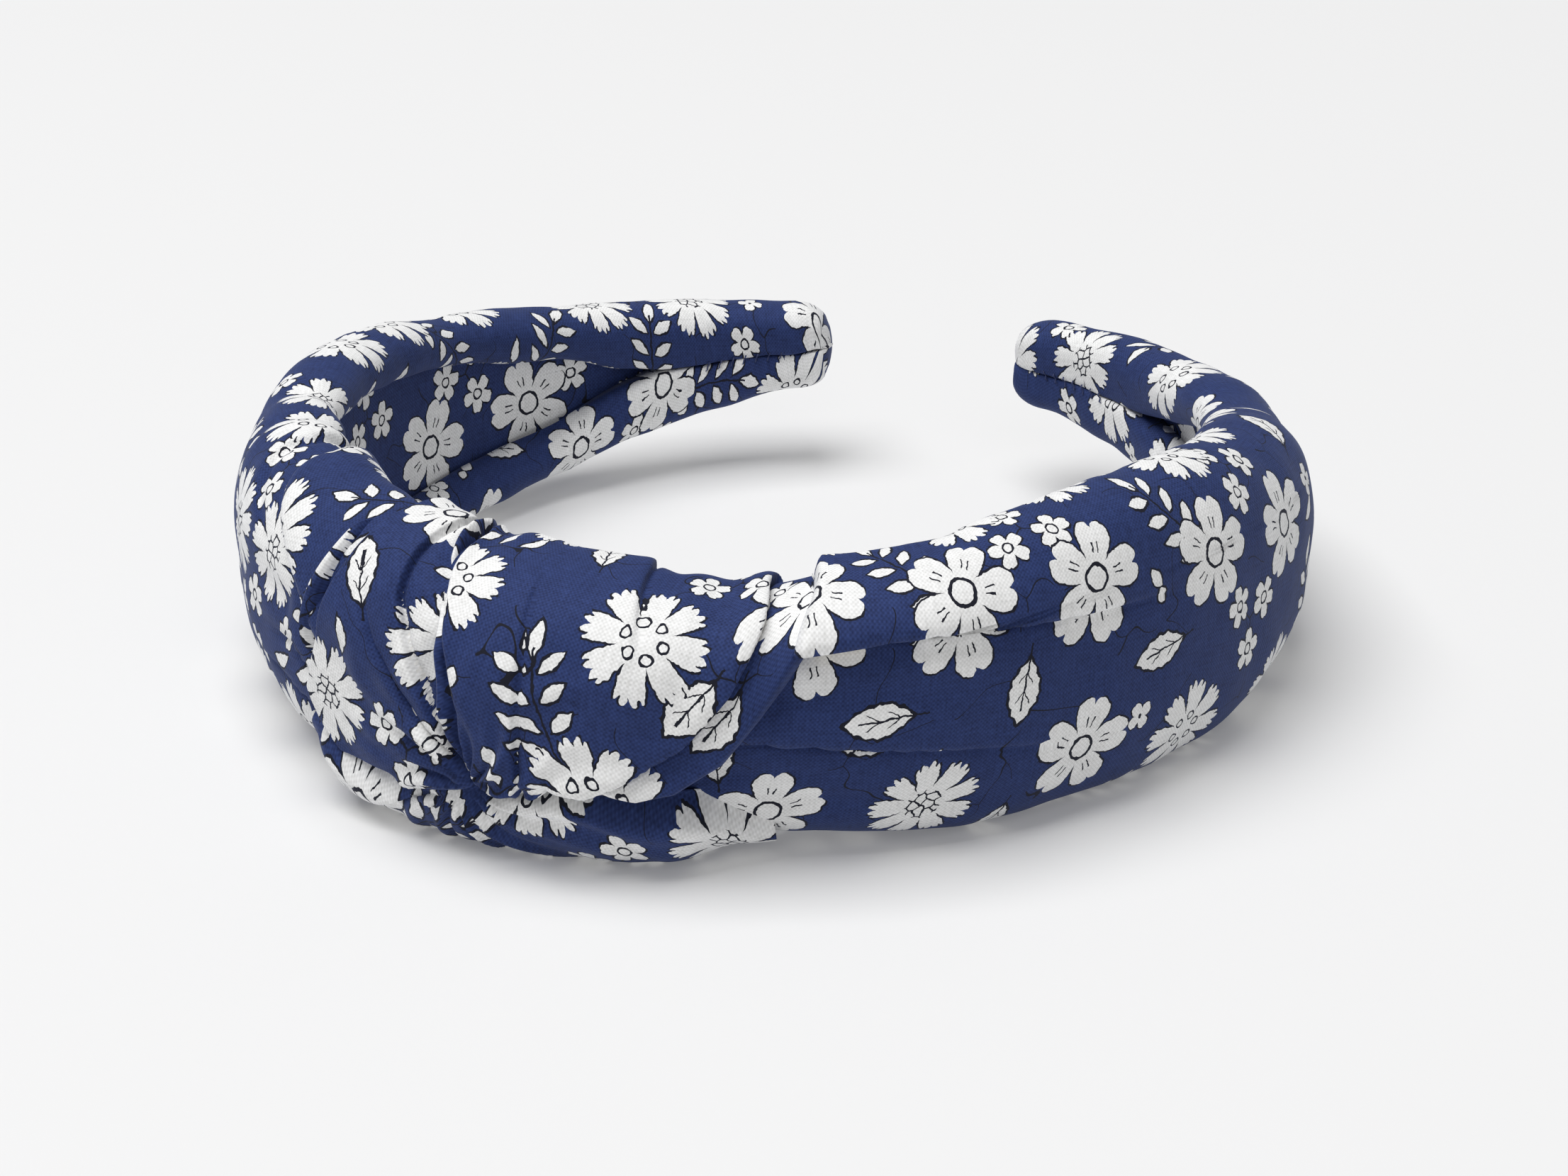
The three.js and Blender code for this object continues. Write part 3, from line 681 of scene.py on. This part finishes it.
def build_stitches(name, side):
    """Small slip stitches across the closed seam near a tip."""
    points, faces = [], []
    for k, s in enumerate(np.arange(178.5, 192, 2.1)):
        sec = section(LEFT_CURVES if side < 0 else RIGHT_CURVES, np.array([side * s]), tip=True)
        mid, depth = float(sec["mid"][0]), RECESS - float(sec["roll"][0])
        path = [(s - 0.35, depth + 0.35, -0.75), (s - 0.2, depth - 0.02, -0.5), (s, depth + 0.3, 0.0),
                (s + 0.2, depth - 0.02, 0.5), (s + 0.35, depth + 0.35, 0.75)]
        base = len(points)
        for arc, n, z in path:
            for j in range(6):
                a = 2 * math.pi * j / 6
                points.append(place(side * (arc + 0.13 * math.cos(a)), n + 0.13 * math.sin(a), mid + z))
        for i in range(len(path) - 1):
            for j in range(6):
                a, b = base + i * 6 + j, base + i * 6 + (j + 1) % 6
                faces.append((a, b, b + 6, a + 6))
        faces.append(tuple(base + j for j in range(6)))
        faces.append(tuple(base + (len(path) - 1) * 6 + j for j in reversed(range(6))))
    mesh = bpy.data.meshes.new(name)
    mesh.from_pydata([tuple(p) for p in points], [], faces)
    piece = bpy.data.objects.new(name, mesh)
    bpy.context.scene.collection.objects.link(piece)
    return piece


# ---- Materials ----


class Nodes:
    """Short calls for building a material's nodes."""

    def __init__(self, name):
        self.material = bpy.data.materials.new(name)
        self.material.use_nodes = True
        self.tree = self.material.node_tree
        self.tree.nodes.clear()
        self.shader = self.tree.nodes.new("ShaderNodeBsdfPrincipled")
        output = self.tree.nodes.new("ShaderNodeOutputMaterial")
        self.tree.links.new(self.shader.outputs[0], output.inputs[0])

    def put(self, socket, value):
        if isinstance(value, bpy.types.NodeSocket):
            self.tree.links.new(value, socket)
        elif value is not None:
            socket.default_value = value

    def math(self, operation, a, b=None, c=None):
        node = self.tree.nodes.new("ShaderNodeMath")
        node.operation = operation
        for socket, value in zip(node.inputs, (a, b, c)):
            self.put(socket, value)
        return node.outputs[0]

    def sub(self, *values):
        return self.math("SUBTRACT", *values)

    def mul(self, *values):
        return self.math("MULTIPLY", *values)

    def div(self, *values):
        return self.math("DIVIDE", *values)

    def less(self, *values):
        return self.math("LESS_THAN", *values)

    def more(self, *values):
        return self.math("GREATER_THAN", *values)

    def absolute(self, *values):
        return self.math("ABSOLUTE", *values)

    def vector(self, operation, a, b=None, scale=None):
        node = self.tree.nodes.new("ShaderNodeVectorMath")
        node.operation = operation
        self.put(node.inputs[0], a)
        if b is not None:
            self.put(node.inputs[1], b)
        if scale is not None:
            self.put(node.inputs["Scale"], scale)
        return node.outputs["Value"] if operation in ("LENGTH", "DISTANCE",
            "DOT_PRODUCT") else node.outputs[0]

    def separate(self, vector):
        node = self.tree.nodes.new("ShaderNodeSeparateXYZ")
        self.put(node.inputs[0], vector)
        return node.outputs[0], node.outputs[1], node.outputs[2]

    def combine(self, x, y, z=0.0):
        node = self.tree.nodes.new("ShaderNodeCombineXYZ")
        for socket, value in zip(node.inputs, (x, y, z)):
            self.put(socket, value)
        return node.outputs[0]

    def mix(self, factor, a, b):
        node = self.tree.nodes.new("ShaderNodeMix")
        node.data_type = "RGBA"
        self.put(node.inputs[0], factor)
        self.put(node.inputs[6], a)
        self.put(node.inputs[7], b)
        return node.outputs[2]

    def curve(self, value, points):
        node = self.tree.nodes.new("ShaderNodeFloatCurve")
        line = node.mapping.curves[0]
        while len(line.points) < len(points):
            line.points.new(0.5, 0.5)
        for point, (x, y) in zip(line.points, points):
            point.location = (x, y)
            point.handle_type = "AUTO"
        node.mapping.update()
        self.put(node.inputs["Value"], value)
        return node.outputs[0]

    def noise(self, vector, scale, detail=2.0):
        node = self.tree.nodes.new("ShaderNodeTexNoise")
        self.put(node.inputs["Vector"], vector)
        node.inputs["Scale"].default_value = scale
        node.inputs["Detail"].default_value = detail
        return node.outputs["Fac"], node.outputs["Color"]

    def cells(self, vector, randomness):
        node = self.tree.nodes.new("ShaderNodeTexVoronoi")
        node.voronoi_dimensions = "2D"
        self.put(node.inputs["Vector"], vector)
        node.inputs["Scale"].default_value = 1.0
        node.inputs["Randomness"].default_value = randomness
        return node.outputs["Color"], node.outputs["Position"]

    def rotate(self, vector, angle):
        node = self.tree.nodes.new("ShaderNodeVectorRotate")
        node.rotation_type = "Z_AXIS"
        self.put(node.inputs["Vector"], vector)
        self.put(node.inputs["Angle"], angle)
        return node.outputs[0]

    def uv(self, name):
        node = self.tree.nodes.new("ShaderNodeUVMap")
        node.uv_map = name
        return node.outputs[0]

    # Small shapes: each gives 1 inside and 0 outside.

    def inside(self, value, limit):
        return self.less(value, limit)

    def leaf(self, x, y, length, width):
        """A pointed leaf along x, centred on the origin."""
        share = self.div(x, length)
        room = self.mul(self.sub(1.0, self.mul(share, share)), width)
        return self.less(self.absolute(y), room)

    def petals(self, radius, angle, count, size, profile, grow=0.0):
        """A flower with count petals of the given size; grow swells the outline by that much."""
        turns = self.mul(angle, count / (2 * math.pi))
        sector = self.absolute(self.sub(self.math("FRACT", turns), 0.5))
        if grow:
            side = self.div(grow * count / (2 * math.pi), self.math("MAXIMUM", radius, 1.0))
            sector = self.math("MAXIMUM", self.sub(sector, side), 0.0)
        edge = self.mul(self.curve(self.mul(sector, 2.0), profile), size)
        return self.less(self.sub(radius, grow), edge)


# The navy ground in two copies, mixed by the weave's height in print_colour: the first is the navy with
# painted shade between the threads, the second the same navy with painted highlight on the raised threads.
NAVY = (0.0070, 0.0145, 0.062, 1)
NAVY_WEAVE_HIGHLIGHT = (0.030, 0.056, 0.195, 1)
INK = (0.006, 0.007, 0.016, 1)
WHITE = (0.93, 0.93, 0.915, 1)
OUTLINE = 0.21

DAISY = [(0.0, 0.86), (0.12, 0.97), (0.3, 1.0), (0.42, 0.88), (0.55, 0.96), (0.72, 0.84), (0.86, 0.6),
    (1.0, 0.4)]
BLOSSOM = [(0.0, 0.88), (0.15, 1.0), (0.45, 0.97), (0.7, 0.84), (0.86, 0.62), (1.0, 0.34)]
ROUND_PETAL = [(0.0, 0.96), (0.3, 1.0), (0.6, 0.86), (0.85, 0.6), (1.0, 0.42)]


def motif_space(nodes, mm, cell, shift, randomness):
    """The nearest motif of a jittered lattice: local position, random numbers and centre, in millimetres."""
    moved = nodes.vector("ADD", mm, (shift[0], shift[1], 0))
    scaled = nodes.vector("SCALE", moved, scale=1 / cell)
    colour, position = nodes.cells(scaled, randomness)
    local = nodes.vector("SCALE", nodes.vector("SUBTRACT", scaled, position), scale=cell)
    red, green, blue = nodes.separate(colour)
    turned = nodes.rotate(local, nodes.mul(red, 6.2832))
    centre = nodes.vector("SUBTRACT", nodes.vector("SCALE", position, scale=cell), (shift[0], shift[1], 0))
    return turned, (red, green, blue), centre


def centre_distance(nodes, point, cell, shift, randomness):
    """How far a point lies from the nearest centre of another lattice."""
    scaled = nodes.vector("SCALE", nodes.vector("ADD", point, (shift[0], shift[1], 0)), scale=1 / cell)
    _, position = nodes.cells(scaled, randomness)
    return nodes.mul(nodes.vector("LENGTH", nodes.vector("SUBTRACT", scaled, position)), cell)


def polar(nodes, x, y):
    radius = nodes.math("SQRT", nodes.math("ADD", nodes.mul(x, x), nodes.mul(y, y)))
    return radius, nodes.math("ARCTAN2", y, x)


def band(nodes, value, low, high):
    return nodes.mul(nodes.more(value, low), nodes.less(value, high))


def either(nodes, *masks):
    total = masks[0]
    for mask in masks[1:]:
        total = nodes.math("MAXIMUM", total, mask)
    return total


def both(nodes, *masks):
    total = masks[0]
    for mask in masks[1:]:
        total = nodes.mul(total, mask)
    return total


def flower(nodes, x, y, count, size, profile, kind):
    """(white, dilated, ink) masks of one flower."""
    radius, angle = polar(nodes, x, y)
    white = nodes.petals(radius, angle, count, size, profile)
    dilated = nodes.petals(radius, angle, count, size, profile, grow=OUTLINE)
    if kind == "ring":
        turns = nodes.math("FRACT", nodes.mul(angle, 6 / (2 * math.pi)))
        across = nodes.mul(nodes.sub(turns, 0.5), 2 * math.pi / 6 * size * 0.3)
        out = nodes.sub(radius, size * 0.3)
        spot, _ = polar(nodes, across, out)
        ink = band(nodes, spot, 0.52, 0.8)
    elif kind == "cluster":
        eye = nodes.tree.nodes.new("ShaderNodeTexVoronoi")
        eye.voronoi_dimensions = "2D"
        eye.feature = "DISTANCE_TO_EDGE"
        nodes.put(eye.inputs["Vector"], nodes.combine(x, y))
        eye.inputs["Scale"].default_value = 0.72
        eye.inputs["Randomness"].default_value = 0.55
        near = nodes.less(radius, size * 0.34)
        ink = both(nodes, near, nodes.less(eye.outputs["Distance"], 0.09))
    else:
        ring = band(nodes, radius, size * 0.2, size * 0.26)
        turns = nodes.math("FRACT", nodes.mul(angle, count / (2 * math.pi)))
        vein = nodes.absolute(nodes.sub(nodes.absolute(nodes.sub(turns, 0.5)), 0.09))
        veins = both(nodes, nodes.less(vein, 0.022), band(nodes, radius, size * 0.42, size * 0.62))
        ink = either(nodes, ring, veins)
    return white, dilated, ink


def sprig(nodes, x, y):
    """(white, dilated, ink) masks of a stem with pairs of leaves along y."""
    bend = nodes.mul(nodes.mul(y, y), 0.022)
    x = nodes.sub(x, bend)
    side = nodes.absolute(x)
    pitch = 3.6
    rung = nodes.math("FRACT", nodes.div(nodes.math("ADD", y, 30.0), pitch))
    lift = nodes.mul(nodes.sub(rung, 0.5), pitch)
    local = nodes.rotate(nodes.combine(nodes.sub(side, 2.35), lift), math.radians(-34))
    lx, ly, _ = nodes.separate(local)
    reach = band(nodes, y, -7.2, 5.4)
    tip = nodes.combine(nodes.sub(y, 7.0), x)
    tx, ty, _ = nodes.separate(tip)
    white = either(nodes, both(nodes, nodes.leaf(lx, ly, 1.95, 0.82), reach), nodes.leaf(tx, ty, 2.2, 0.9))
    grown = either(nodes, both(nodes, nodes.leaf(lx, ly, 2.35, 1.16), reach), nodes.leaf(tx, ty, 2.7, 1.24))
    stem = both(nodes, nodes.less(side, 0.16), band(nodes, y, -9.5, 6.0))
    return white, either(nodes, grown, stem), stem


def big_leaf(nodes, x, y):
    """(white, dilated, ink) masks of a large toothed leaf with a midrib and veins."""
    teeth = nodes.mul(nodes.math("PINGPONG", x, 0.8), 0.35)
    white = nodes.leaf(x, nodes.math("ADD", nodes.absolute(y), teeth), 4.6, 2.3)
    grown = nodes.leaf(x, nodes.math("ADD", nodes.absolute(y), teeth), 5.1, 2.72)
    rib = both(nodes, nodes.less(nodes.absolute(y), 0.13), band(nodes, x, -6.5, 2.6))
    slant = nodes.sub(nodes.absolute(y), nodes.mul(x, 0.7))
    veins = both(
        nodes,
        nodes.less(nodes.math("PINGPONG", slant, 0.95), 0.1),
        nodes.less(nodes.absolute(y), 1.1),
        band(nodes, x, -2.6, 2.2),
    )
    return white, either(nodes, grown, rib), either(nodes, rib, veins)


def trio(nodes, x, y):
    """(white, dilated, ink) masks of three small five-petalled flowers on short stems."""
    angle = nodes.math("ARCTAN2", y, x)
    third = nodes.mul(angle, 3 / (2 * math.pi))
    index = nodes.math("FLOOR", third)
    local = nodes.rotate(nodes.combine(x, y), nodes.mul(nodes.math("ADD", index, 0.5), -2 * math.pi / 3))
    lx, ly, _ = nodes.separate(local)
    lx = nodes.sub(lx, 4.4)
    radius, turn = polar(nodes, lx, ly)
    white = nodes.petals(radius, turn, 5, 2.9, ROUND_PETAL)
    grown = nodes.petals(radius, turn, 5, 2.9, ROUND_PETAL, grow=OUTLINE)
    stem = both(nodes, nodes.less(nodes.absolute(ly), 0.13), band(nodes, lx, -4.4, -1.0))
    return white, either(nodes, grown, stem), band(nodes, radius, 0.62, 0.92)


def small_flower(nodes, x, y):
    radius, angle = polar(nodes, x, y)
    white = nodes.petals(radius, angle, 4, 2.15, ROUND_PETAL)
    grown = nodes.petals(radius, angle, 4, 2.15, ROUND_PETAL, grow=OUTLINE * 0.8)
    return white, grown, nodes.less(radius, 0.34)


def buds(nodes, x, y):
    """A pair of round buds."""
    first = nodes.leaf(nodes.sub(x, 1.1), y, 1.35, 0.85)
    second = nodes.leaf(nodes.math("ADD", x, 1.2), nodes.sub(y, 0.3), 1.0, 0.7)
    grown = either(
        nodes,
        nodes.leaf(nodes.sub(x, 1.1), y, 1.7, 1.15),
        nodes.leaf(nodes.math("ADD", x, 1.2), nodes.sub(y, 0.3), 1.4, 1.0),
    )
    return either(nodes, first, second), grown, nodes.inside(nodes.absolute(nodes.math("ADD", x, 0.2)), 0.1)


def lone_leaf(nodes, x, y):
    curl = nodes.mul(nodes.mul(x, x), 0.12)
    y = nodes.math("ADD", y, curl)
    return nodes.leaf(x, y, 2.4, 0.85), nodes.leaf(x, y, 2.85, 1.2), nodes.inside(nodes.absolute(x), -1.0)


def choose(nodes, number, *options):
    """One of several (white, dilated, ink) triples by a random number; options are (limit, triple)."""
    _, result = options[-1]
    for limit, triple in reversed(options[:-1]):
        pick = nodes.less(number, limit)
        rest = nodes.sub(1.0, pick)
        result = tuple(
            nodes.math("ADD", nodes.mul(pick, a), nodes.mul(rest, b))
            for a, b in zip(triple, result)
        )
    return result


def paint(nodes, colour, white, masks, where=None):
    """Lays a motif over what is painted so far: its outline first, then its white, then its ink lines."""
    inside, dilated, ink = masks
    if where is not None:
        inside, dilated, ink = [both(nodes, where, mask) for mask in (inside, dilated, ink)]
    colour = nodes.mix(dilated, colour, INK)
    colour = nodes.mix(inside, colour, white)
    return nodes.mix(both(nodes, inside, ink), colour, INK)


LARGE = {"cell": 21.5, "shift": (3.0, 7.0), "randomness": 0.32}
MIDDLE = {"cell": 21.5, "shift": (13.7, 17.8), "randomness": 0.32}
SMALL = {"cell": 7.6, "shift": (100.0, 40.0), "randomness": 0.75}


def print_colour(nodes, mm, weave):
    """The printed cotton's colour at a point in millimetres on the cloth."""
    _, wobble = nodes.noise(mm, 0.9, 2.0)
    wobbled = nodes.vector("ADD", mm,
        nodes.vector("SCALE", nodes.vector("SUBTRACT", wobble, (0.5, 0.5, 0.5)), scale=0.7))
    # Painted shade and painted highlight: the navy ground and the white print are darker where the weave sits
    # low between threads and lighter on the raised and thicker threads.
    shade = nodes.math("ADD", nodes.mul(weave, 0.5), 0.5)
    ground = nodes.mix(shade, NAVY, NAVY_WEAVE_HIGHLIGHT)
    white = nodes.mix(shade, tuple(0.72 * c for c in WHITE[:3]) + (1,),
        tuple(min(1, 1.1 * c) for c in WHITE[:3]) + (1,))

    vines = nodes.tree.nodes.new("ShaderNodeTexVoronoi")
    vines.voronoi_dimensions = "2D"
    vines.feature = "DISTANCE_TO_EDGE"
    _, curl = nodes.noise(mm, 0.11, 1.0)
    bent = nodes.vector("ADD", mm, nodes.vector("SCALE", nodes.vector("SUBTRACT", curl, (0.5, 0.5, 0.5)),
        scale=16.0))
    nodes.put(vines.inputs["Vector"], bent)
    vines.inputs["Scale"].default_value = 0.062
    vines.inputs["Randomness"].default_value = 0.9
    broken, _ = nodes.noise(mm, 0.13, 0.0)
    vine = both(nodes, nodes.less(vines.outputs["Distance"], 0.0058), nodes.more(broken, 0.47))
    colour = nodes.mix(vine, ground, INK)

    local, (_, pick, extra), centre = motif_space(nodes, wobbled, **SMALL)
    x, y, _ = nodes.separate(local)
    clear = both(
        nodes,
        nodes.more(centre_distance(nodes, centre, **LARGE), 9.4),
        nodes.more(centre_distance(nodes, centre, **MIDDLE), 8.2),
        nodes.less(extra, 0.85),
    )
    small = choose(nodes, pick, (0.42, small_flower(nodes, x, y)), (0.68, buds(nodes, x, y)),
        (1, lone_leaf(nodes, x, y)))
    colour = paint(nodes, colour, white, small, clear)

    local, (_, pick, extra), _ = motif_space(nodes, wobbled, **MIDDLE)
    x, y, _ = nodes.separate(local)
    middle = choose(nodes, pick, (0.42, sprig(nodes, x, y)), (0.72, trio(nodes, x, y)),
        (1, big_leaf(nodes, x, y)))
    colour = paint(nodes, colour, white, middle)

    local, (_, pick, extra), _ = motif_space(nodes, wobbled, **LARGE)
    x, y, _ = nodes.separate(local)
    large = choose(
        nodes,
        pick,
        (0.36, flower(nodes, x, y, 8, 7.7, DAISY, "ring")),
        (0.68, flower(nodes, x, y, 9, 7.4, DAISY, "cluster")),
        (1, flower(nodes, x, y, 5, 7.3, BLOSSOM, "veined")),
    )
    return paint(nodes, colour, white, large)


THREAD_PITCH = 0.3


def weave_height(nodes, mm):
    """Plain weave: threads over and under each other, with uneven thickness; about -1 to 1."""
    x, y, _ = nodes.separate(mm)
    step = 2 * math.pi / THREAD_PITCH / 2
    over = nodes.mul(nodes.math("SINE", nodes.mul(x, step)), nodes.math("SINE", nodes.mul(y, step)))
    warp, _ = nodes.noise(nodes.combine(nodes.mul(x, 3.3), nodes.mul(y, 0.35)), 1.0, 1.0)
    weft, _ = nodes.noise(nodes.combine(nodes.mul(x, 0.35), nodes.mul(y, 3.3)), 1.0, 1.0)
    slubs = nodes.sub(nodes.math("ADD", warp, weft), 1.0)
    return nodes.math("ADD", nodes.mul(over, 0.55), nodes.mul(slubs, 1.5))


def cotton_material():
    nodes = Nodes("printed_cotton")
    mm = nodes.vector("SCALE", nodes.uv("print"), scale=1000.0)
    weave = weave_height(nodes, mm)
    nodes.put(nodes.shader.inputs["Base Color"], print_colour(nodes, mm, weave))
    nodes.shader.inputs["Roughness"].default_value = 0.78
    nodes.shader.inputs["Specular IOR Level"].default_value = 0.25
    nodes.shader.inputs["Sheen Weight"].default_value = 0.12
    nodes.shader.inputs["Sheen Roughness"].default_value = 0.45
    nodes.shader.inputs["Sheen Tint"].default_value = (0.55, 0.62, 0.9, 1)
    bump = nodes.tree.nodes.new("ShaderNodeBump")
    bump.inputs["Strength"].default_value = 0.35
    bump.inputs["Distance"].default_value = 0.00006
    nodes.put(bump.inputs["Height"], weave)
    nodes.put(nodes.shader.inputs["Normal"], bump.outputs[0])
    return nodes.material


def fibre_material(name, dark, light, size, depth, roughness):
    """A loose surface, such as sponge or wadding: clumped colour and a soft uneven height."""
    nodes = Nodes(name)
    where = nodes.tree.nodes.new("ShaderNodeTexCoord").outputs["Object"]
    clumps, _ = nodes.noise(where, 1 / (size * MM), 4.0)
    nodes.put(nodes.shader.inputs["Base Color"], nodes.mix(clumps, dark, light))
    nodes.shader.inputs["Roughness"].default_value = roughness
    bump = nodes.tree.nodes.new("ShaderNodeBump")
    bump.inputs["Distance"].default_value = depth * MM
    nodes.put(bump.inputs["Height"], clumps)
    nodes.put(nodes.shader.inputs["Normal"], bump.outputs[0])
    return nodes.material


def plain_node_material(name, material):
    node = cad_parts[name]
    node.data.materials.clear()
    node.data.materials.append(material)


# ---- Assembly ----


def finish_piece(piece, material, slot, *nodes):
    piece.data.materials.append(material)
    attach(piece, "root")
    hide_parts(*nodes)


def build_headband():
    cotton = cotton_material()
    thread = fibre_material("sewing_thread", (0.01, 0.018, 0.07, 1), (0.03, 0.045, 0.14, 1), 0.2, 0.03, 0.6)
    left = build_sleeve("left_sleeve_cloth", -1, LEFT_START, LEFT_CURVES, left_sleeve_folds, -8, (0, 0))
    right = build_sleeve("right_sleeve_cloth", 1, RIGHT_START, RIGHT_CURVES, right_sleeve_folds, 6,
        (60, 130))
    front = build_wrap("knot_front_wrap_cloth", FRONT_TOP, FRONT_FOOT, 188, 256, front_wrap_folds, 12,
        (430, 260))
    side = build_wrap("knot_left_wrap_cloth", LEFT_TOP, LEFT_FOOT, 140, 260, left_wrap_folds, -30,
        (150, 330))
    strand = build_strand()
    lining = build_lining()
    for piece, node, held, *under in (
        (left, "left_sleeve", "stretched", "left_sponge_fill"),
        (right, "right_sleeve", "stretched", "right_sponge_fill"),
        (front, "knot_front_wrap", "gathered", "knot_front_wadding_fill"),
        (side, "knot_left_wrap", "folded", "knot_left_wadding_fill"),
        (strand, "knot_under_strand", "folded", "left_sleeve_cloth", "right_sleeve_cloth"),
        (lining, "inner_lining", "stretched", "hoop_core"),
    ):
        finish_piece(piece, cotton, "printed_cotton", node)
        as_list(under)
    for name, arm in (("left", -1), ("right", 1)):
        stitches = build_stitches(name + "_seam_stitches", arm)
        finish_piece(stitches, thread, "sewing_thread", name + "_seam_thread")
    sponge = fibre_material("sponge", (0.55, 0.5, 0.4, 1), (0.82, 0.78, 0.68, 1), 0.8, 0.4, 0.95)
    wadding = fibre_material("wadding", (0.72, 0.71, 0.68, 1), (0.9, 0.89, 0.87, 1), 2.5, 0.6, 0.95)
    plastic = fibre_material("hoop_plastic", (0.02, 0.02, 0.024, 1), (0.035, 0.035, 0.04, 1), 3.0, 0.02,
        0.45)
    for piece, arm_name in zip(build_sponge(), ("left", "right")):
        piece.name = arm_name + "_sponge_fill"
        finish_piece(piece, sponge, "sponge", "sponge_pad")
    for name, top, foot, folds_of in (
        ("knot_front_wadding", FRONT_TOP, FRONT_FOOT, front_wrap_folds),
        ("knot_left_wadding", LEFT_TOP, LEFT_FOOT, left_wrap_folds),
    ):
        filling = build_wadding(name + "_fill", top, foot, folds_of)
        finish_piece(filling, wadding, "wadding", name)
    plain_node_material("hoop_core", plastic)


# ---- Studio ----

CAMERA_AT = (0.21179, -0.56335, 0.25897)
CAMERA_AZIMUTH, CAMERA_ELEVATION, CAMERA_ROLL = 20.37, 22.52, -1.29
SENSOR = 36.0
FOCAL = 2.9507 * SENSOR


def add_camera():
    camera = bpy.data.objects.new("camera", bpy.data.cameras.new("camera"))
    bpy.context.scene.collection.objects.link(camera)
    azimuth, elevation = math.radians(CAMERA_AZIMUTH), math.radians(CAMERA_ELEVATION)
    back = Vector((
        math.sin(azimuth) * math.cos(elevation),
        -math.cos(azimuth) * math.cos(elevation),
        math.sin(elevation),
    ))
    facing = (-back).to_track_quat("-Z", "Y").to_matrix()
    roll = Matrix.Rotation(math.radians(CAMERA_ROLL), 3, "Z")
    camera.matrix_world = Matrix.Translation(CAMERA_AT) @ (facing @ roll).to_4x4()
    camera.data.sensor_width = SENSOR
    camera.data.lens = FOCAL
    camera.data.clip_start, camera.data.clip_end = 0.02, 20
    bpy.context.scene.camera = camera


def add_light(name, at, size, power, colour=(1, 1, 1)):
    light = bpy.data.lights.new(name, "AREA")
    light.shape = "RECTANGLE"
    light.size, light.size_y = size
    light.energy = power
    light.color = colour
    holder = bpy.data.objects.new(name, light)
    holder.location = at
    holder.rotation_euler = (Vector((0, 0, 0.02)) - Vector(at)).to_track_quat("-Z", "Y").to_euler()
    bpy.context.scene.collection.objects.link(holder)


def add_floor():
    half = 4.0
    corners = [(-half, -half, 0), (half, -half, 0), (half, half, 0), (-half, half, 0)]
    mesh = bpy.data.meshes.new("floor")
    mesh.from_pydata(corners, [], [(0, 1, 2, 3)])
    floor = bpy.data.objects.new("floor", mesh)
    bpy.context.scene.collection.objects.link(floor)
    nodes = Nodes("floor")
    nodes.shader.inputs["Base Color"].default_value = (0.66, 0.66, 0.662, 1)
    nodes.shader.inputs["Emission Color"].default_value = (1, 1, 1, 1)
    nodes.shader.inputs["Emission Strength"].default_value = 0.16
    nodes.shader.inputs["Roughness"].default_value = 0.9
    nodes.shader.inputs["Specular IOR Level"].default_value = 0.1
    mesh.materials.append(nodes.material)


def add_studio():
    world = bpy.data.worlds.new("studio")
    world.use_nodes = True
    background = world.node_tree.nodes["Background"]
    background.inputs["Color"].default_value = (1, 1, 1, 1)
    background.inputs["Strength"].default_value = 0.22
    bpy.context.scene.world = world
    add_floor()
    add_light("top", (-0.6, -0.4, 2.9), (2.4, 2.4), 96.0)
    add_light("front", (0.9, -1.8, 1.6), (1.4, 1.0), 5.0)
    bpy.context.scene.view_settings.view_transform = "Standard"


add_camera()
build_headband()
add_studio()
